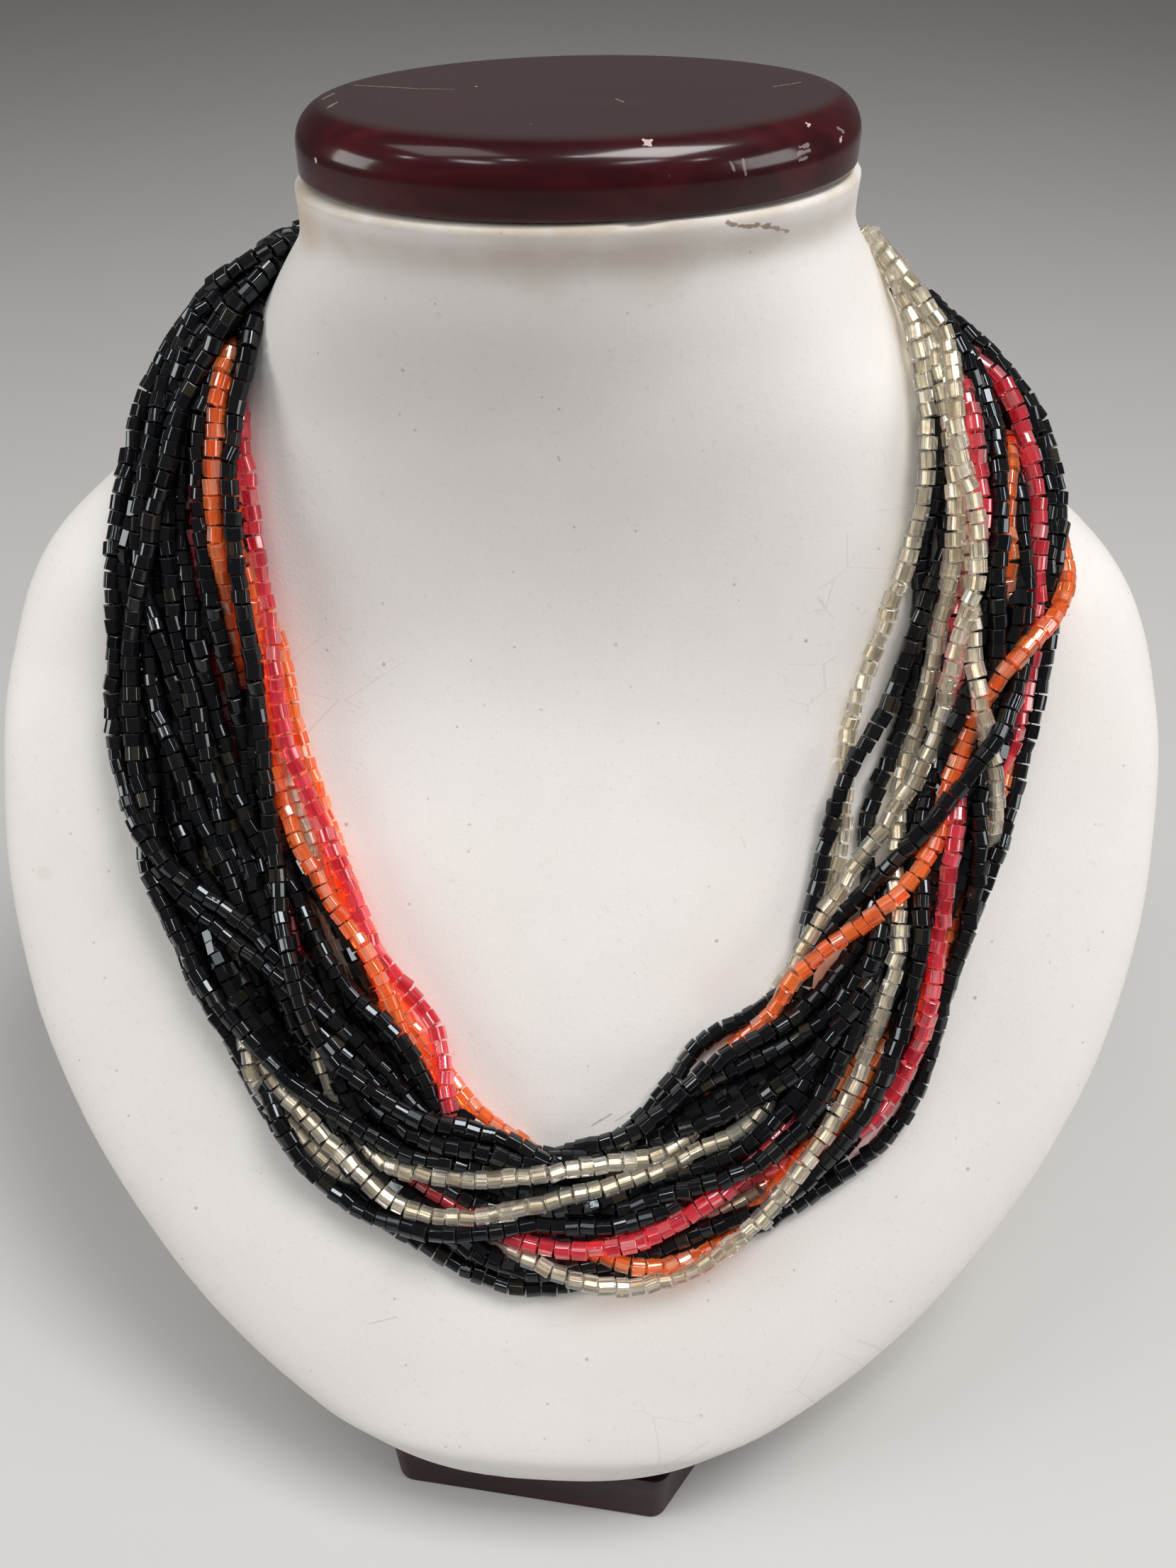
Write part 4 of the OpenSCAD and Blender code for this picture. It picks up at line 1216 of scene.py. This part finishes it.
# %% [markdown]
# ## Lacquered wood
#
# Cap and foot are wood under a deep wine red lacquer: a dark base with a faint grain, and on the
# cap a clear coat that gives the sharp reflections. The lacquer is chipped along the edges, where
# pale wood filler shows, and finely scratched on top.

# %% Lacquer
CAP_CHIPS = ((913, 200, 1.0), (1140, 176, 0.5), (1186, 196, 0.6), (445, 226, 0.5), (672, 122, 0.3))
CAP_STROKES = (
    (500, 120, 590, 125, 0.25), (590, 125, 640, 126, 0.2), (1092, 122, 1130, 116, 0.25),
    (1128, 208, 1140, 204, 0.45), (1126, 217, 1142, 212, 0.5), (1128, 226, 1138, 222, 0.4),
    (1030, 228, 1036, 240, 0.4), (1048, 226, 1052, 246, 0.4), (1182, 180, 1190, 186, 0.4),
    (868, 139, 880, 144, 0.3), (455, 140, 470, 132, 0.4), (462, 152, 476, 144, 0.35),
)
FOOT_CHIPS = (((-20, 0.6, 3), 0.6), ((9, -0.9, 16), 0.5))      # places from the foot's front, radii, in mm
NEVER = 1.0                                                    # a height that nothing reaches
cap_tree = BVHTree.FromObject(cap, bpy.context.evaluated_depsgraph_get())


def on_cap(x, y):
    """Place on the cap that a pixel of the photograph shows."""
    direction = sight_line(x, y)
    hit = cap_tree.ray_cast(eye, direction)[0]
    return hit or cap_tree.find_nearest(eye + direction * (cap_middle - eye).length)[0]


def lacquer(name, wood_tint, deep, chip_places, strokes, coat, painted_reflection_above):
    """A lacquer with chips at places and scratches between places; faces above a height are greyer, partly dust
    haze and partly a painted reflection.
    """
    material, tree, place = start_finish(name)
    stretched = put(tree, "Mapping", {"Vector": place, "Scale": (1.0, 7.0, 7.0)}).outputs[0]
    years = noise(tree, stretched, 30.0, 6.0, Distortion=0.6)
    colour = mixed(tree, ramp(tree, years, 0.35, 0.7), deep, wood_tint)
    # Faces above this height turn a greyish brown: partly dust haze, partly a painted reflection of the
    # surround on the flat top.
    dust_and_painted_reflection = ramp(tree, upright_place(tree, place), painted_reflection_above - 0.5 * MM, painted_reflection_above, 0, 0.75)
    colour = mixed(tree, dust_and_painted_reflection, colour, (0.052, 0.034, 0.034, 1))
    line_marks = use_group(tree, scratches, {"Vector": place, "Scale": 90.0, "Share": 0.010, "Turn": 0.2})
    colour = mixed(tree, line_marks, colour, (0.10, 0.06, 0.055, 1), 0.5)
    dust = use_group(tree, specks, {"Vector": place, "Scale": 330.0, "Size": 0.09, "Share": 0.10})
    colour = mixed(tree, dust, colour, (0.30, 0.24, 0.22, 1), 0.5)
    chips = 0.0
    for centre, radius in chip_places:
        distance = torn(tree, place, apart_by(tree, place, centre), 1.4 / radius, 1.2 * radius)
        chips = sums(tree, "MAXIMUM", chips, sums(tree, "LESS_THAN", distance, radius * 0.6))
    for begin, stop, width in strokes:
        line = stroke(tree, place, begin, stop, width, 0.9)
        chips = sums(tree, "MAXIMUM", chips, times(tree, line, 0.4))
    colour = mixed(tree, chips, colour, (0.52, 0.42, 0.40, 1))
    relief = use_group(tree, grain, {"Vector": place, "Scale": 220.0, "Pits": 0.2})
    relief = sums(tree, "SUBTRACT", relief, times(tree, sums(tree, "MAXIMUM", line_marks, chips), 0.8))
    relief = sums(tree, "ADD", relief, times(tree, noise(tree, place, 60.0, 3.0), 2.0))
    end_finish(tree, principled(tree, colour, mixed(tree, chips, 0.32, 0.7), {
        "Normal": bumped(tree, relief, 0.12, 0.2 * MM), "Coat Roughness": 0.13, "Coat IOR": 1.42,
        "Coat Weight": times(tree, sums(tree, "SUBTRACT", 1.0, chips), coat), "Specular IOR Level": 0.06}))
    return material


cap_chips = [(on_cap(x, y), radius * MM) for x, y, radius in CAP_CHIPS]
cap_strokes = [(on_cap(x0, y0), on_cap(x1, y1), width * MM) for x0, y0, x1, y1, width in CAP_STROKES]
foot_chips = [(FOOT_FRONT + Vector(place) * MM, radius * MM) for place, radius in FOOT_CHIPS]
cap.data.materials.append(lacquer("cap_lacquer", (0.055, 0.006, 0.009, 1), (0.026, 0.003, 0.005, 1),
                                  cap_chips, cap_strokes, 0.75, cap_high.z))
foot_block.data.materials.append(lacquer("foot_lacquer", (0.034, 0.006, 0.011, 1), (0.014, 0.003, 0.006, 1),
                                         foot_chips, [], 0.0, NEVER))

# %% [markdown]
# ## Glass
#
# Black glass only shows by what it mirrors, so it is a smooth dark shader whose facets differ a
# little: some are cooler, some a smoky olive where light gets into the glass. Red, orange and
# clear beads let light through, and a share of their facets carry a painted highlight in a pale
# colour. Light that passes a coloured bead tints the covering beside it,
# which a path tracer finds only by chance, so shadow rays go through a tinted see-through shader.

# %% Black glass
def tones(tree):
    """The random tones that threading kept on the faces, and whether a face is a bead's end."""
    return [put(tree, "Attribute", attribute_name=name).outputs["Fac"]
            for name in ("bead_tone", "facet_tone", "cut_end")]


black, tree, place = start_finish("black_glass")
of_bead, of_facet, at_end = tones(tree)
colour = mixed(tree, of_bead, (0.003, 0.0032, 0.0045, 1), (0.008, 0.0075, 0.0075, 1))
smoky = times(tree, ramp(tree, of_bead, 0.84, 0.97), ramp(tree, of_facet, 0.6, 1.0))
colour = mixed(tree, smoky, colour, (0.036, 0.027, 0.015, 1))
colour = mixed(tree, at_end, colour, (0.022, 0.021, 0.022, 1), 0.5)
gloss = sums(tree, "ADD", ramp(tree, of_facet, 0.0, 1.0, 0.03, 0.10), times(tree, at_end, 0.2))
end_finish(tree, principled(tree, colour, gloss, {
    "Normal": bumped(tree, noise(tree, place, 900.0), 0.06, 0.1 * MM), "IOR": 1.5, "Specular IOR Level": 0.5,
    "Specular Tint": (0.84, 0.93, 1.0, 1)}))

# %% Clear and coloured glass
def clear_glass(name, tint, deep, pale, painted_shine_share, through, transmission):
    material, tree, place = start_finish(name)
    of_bead, of_facet, at_end = tones(tree)
    # A random share of the facets gets the pale colour as a painted highlight; the cut ends get some of it as
    # real frost.
    shine = ramp(tree, of_facet, 1 - painted_shine_share, 1.0)
    frost_and_painted_shine = sums(tree, "MAXIMUM", shine, times(tree, at_end, 0.35))
    colour = mixed(tree, frost_and_painted_shine, mixed(tree, of_bead, tint, deep), pale)
    wave = noise(tree, place, 700.0)
    shader = principled(tree, colour, ramp(tree, wave, 0.3, 0.7, 0.04, 0.14), {
        "Normal": bumped(tree, wave, 0.15, 0.1 * MM), "IOR": 1.55, "Coat Weight": 0.6, "Coat Roughness": 0.05,
        "Transmission Weight": transmission})
    see_through = put(tree, "BsdfTransparent", {"Color": through}).outputs[0]
    for_shadows = put(tree, "LightPath").outputs["Is Shadow Ray"]
    end_finish(tree, put(tree, "MixShader", {0: for_shadows, 1: shader, 2: see_through}).outputs[0])
    return material


# The fourth and fifth values are the colour and share of facets with a painted highlight; the pale colour also
# frosts the cut ends.
red = clear_glass("red_glass", (0.90, 0.10, 0.15, 1), (0.68, 0.03, 0.06, 1), (1.0, 0.52, 0.53, 1), 0.35,
                  (0.97, 0.62, 0.62, 1), 0.72)
orange = clear_glass("orange_glass", (1.0, 0.32, 0.07, 1), (0.95, 0.17, 0.03, 1), (1.0, 0.62, 0.45, 1), 0.35,
                     (0.98, 0.72, 0.55, 1), 0.72)
clear = clear_glass("clear_glass", (0.86, 0.82, 0.73, 1), (0.70, 0.64, 0.52, 1), (1.0, 1.0, 0.98, 1), 0.25,
                    (0.86, 0.84, 0.80, 1), 0.85)
finish_of = {"black": black, "lower": black, "red": red, "orange": orange, "clear": clear}
for name, piece in pieces.items():
    piece.data.materials.append(finish_of[name.split("_")[0]])

# %% Lining, thread and clasp
lining_metal, tree, place = start_finish("lining_metal")
colour = mixed(tree, tones(tree)[0], (0.80, 0.74, 0.60, 1), (0.64, 0.55, 0.40, 1))
patches = noise(tree, place, 500.0, 3.0)
colour = mixed(tree, ramp(tree, patches, 0.55, 0.75, 0, 0.5), colour, (0.35, 0.26, 0.15, 1))
end_finish(tree, principled(tree, colour, ramp(tree, patches, 0.3, 0.7, 0.3, 0.5), {"Metallic": 1.0}))
lining.data.materials.append(lining_metal)

thread_finish, tree, place = start_finish("waxed_thread")
twist = noise(tree, place, 2500.0)
colour = mixed(tree, twist, (0.05, 0.045, 0.04, 1), (0.16, 0.14, 0.12, 1))
end_finish(tree, principled(tree, colour, 0.6, {"Normal": bumped(tree, twist, 0.5, 0.05 * MM)}))
threads.data.materials.append(thread_finish)

clasp_metal, tree, place = start_finish("gilt_metal")
worn = noise(tree, place, 160.0, 5.0)
colour = mixed(tree, ramp(tree, worn, 0.4, 0.7), (0.83, 0.66, 0.36, 1), (0.62, 0.48, 0.27, 1))
line_marks = use_group(tree, scratches, {"Vector": place, "Scale": 260.0, "Share": 0.02, "Turn": 1.1})
relief = use_group(tree, grain, {"Vector": place, "Scale": 900.0, "Pits": 0.2})
relief = sums(tree, "SUBTRACT", relief, line_marks)
end_finish(tree, principled(tree, colour, ramp(tree, worn, 0.3, 0.7, 0.2, 0.38), {
    "Metallic": 1.0, "Normal": bumped(tree, relief, 0.1, 0.1 * MM)}))
clasp.data.materials.append(clasp_metal)
print("materials:", [m.name for m in bpy.data.materials if m.users])

# %% [markdown]
# ## Floor and light
#
# The floor is a plain pale sheet. The light is that of a room with windows: a strong soft light
# high on the right, a weak one high on the left, two lower ones at the sides that model the
# chest, and two narrow ones that draw the bright bands along the cap's round edge. Four small
# ones stand for window panes: small faces of black glass only look like glass when they mirror
# something small and bright. The surround is dim, so that the black beads and the cap's flat top
# stay dark. One large light would be simpler, but then every facet would shine alike.

# %% Floor
bpy.ops.object.select_all(action="DESELECT")
bpy.ops.mesh.primitive_grid_add(size=8, x_subdivisions=4, y_subdivisions=4)
floor = bpy.context.object
floor.name = "pale_floor"
floor_paint, tree, place = start_finish("floor_paint")
colour = mixed(tree, noise(tree, place, 3.0, 4.0), (0.66, 0.65, 0.64, 1), (0.60, 0.59, 0.58, 1))
end_finish(tree, principled(tree, colour, 0.7, {}))
floor.data.materials.append(floor_paint)

# %% Lights
AIM_OF_LIGHTS = Vector((0, 0, 0.12))
WARM, WHITE, COOL = (1.0, 0.98, 0.95), (1.0, 1.0, 1.0), (0.92, 0.96, 1.0)
PANE = (0.035, 0.05)
LIGHTS = (           # name, place and size in metres, power in watts, colour
    ("high_right", (0.28, -0.08, 0.92), (0.30, 0.30), 4.8, (1.0, 0.985, 0.97)),
    ("high_left", (-0.28, -0.08, 0.92), (0.30, 0.30), 0.9, (0.98, 0.99, 1.0)),
    ("low_right", (0.77, -0.21, 0.41), (0.34, 0.34), 2.15, WARM),
    ("low_left", (-0.77, -0.21, 0.41), (0.34, 0.34), 2.6, WARM),
    ("edge_left", (-0.22, -0.40, 0.84), (0.13, 0.07), 0.34, WHITE),
    ("edge_right", (0.30, -0.36, 0.80), (0.13, 0.07), 0.28, WHITE),
    ("window_1", (-0.10, -0.34, 0.95), PANE, 0.14, COOL),
    ("window_2", (0.10, -0.20, 1.02), PANE, 0.14, COOL),
    ("window_3", (-0.46, -0.30, 0.76), PANE, 0.14, COOL),
    ("window_4", (0.50, -0.32, 0.72), PANE, 0.12, COOL),
)
for name, place, size, power, tint in LIGHTS:
    data = bpy.data.lights.new(name, "AREA")
    data.shape = "RECTANGLE"
    data.size, data.size_y = size
    data.energy = power
    data.color = tint
    light = bpy.data.objects.new(name, data)
    turned_to = (AIM_OF_LIGHTS - Vector(place)).to_track_quat("-Z", "Y").to_matrix().to_4x4()
    light.matrix_world = Matrix.Translation(place) @ turned_to
    bpy.context.scene.collection.objects.link(light)

world = bpy.data.worlds.new("surround")
world.use_nodes = True
background = world.node_tree.nodes["Background"]
background.inputs["Color"].default_value = (0.90, 0.88, 0.88, 1)
background.inputs["Strength"].default_value = 0.12
bpy.context.scene.world = world
bpy.context.scene.view_settings.view_transform = "Standard"
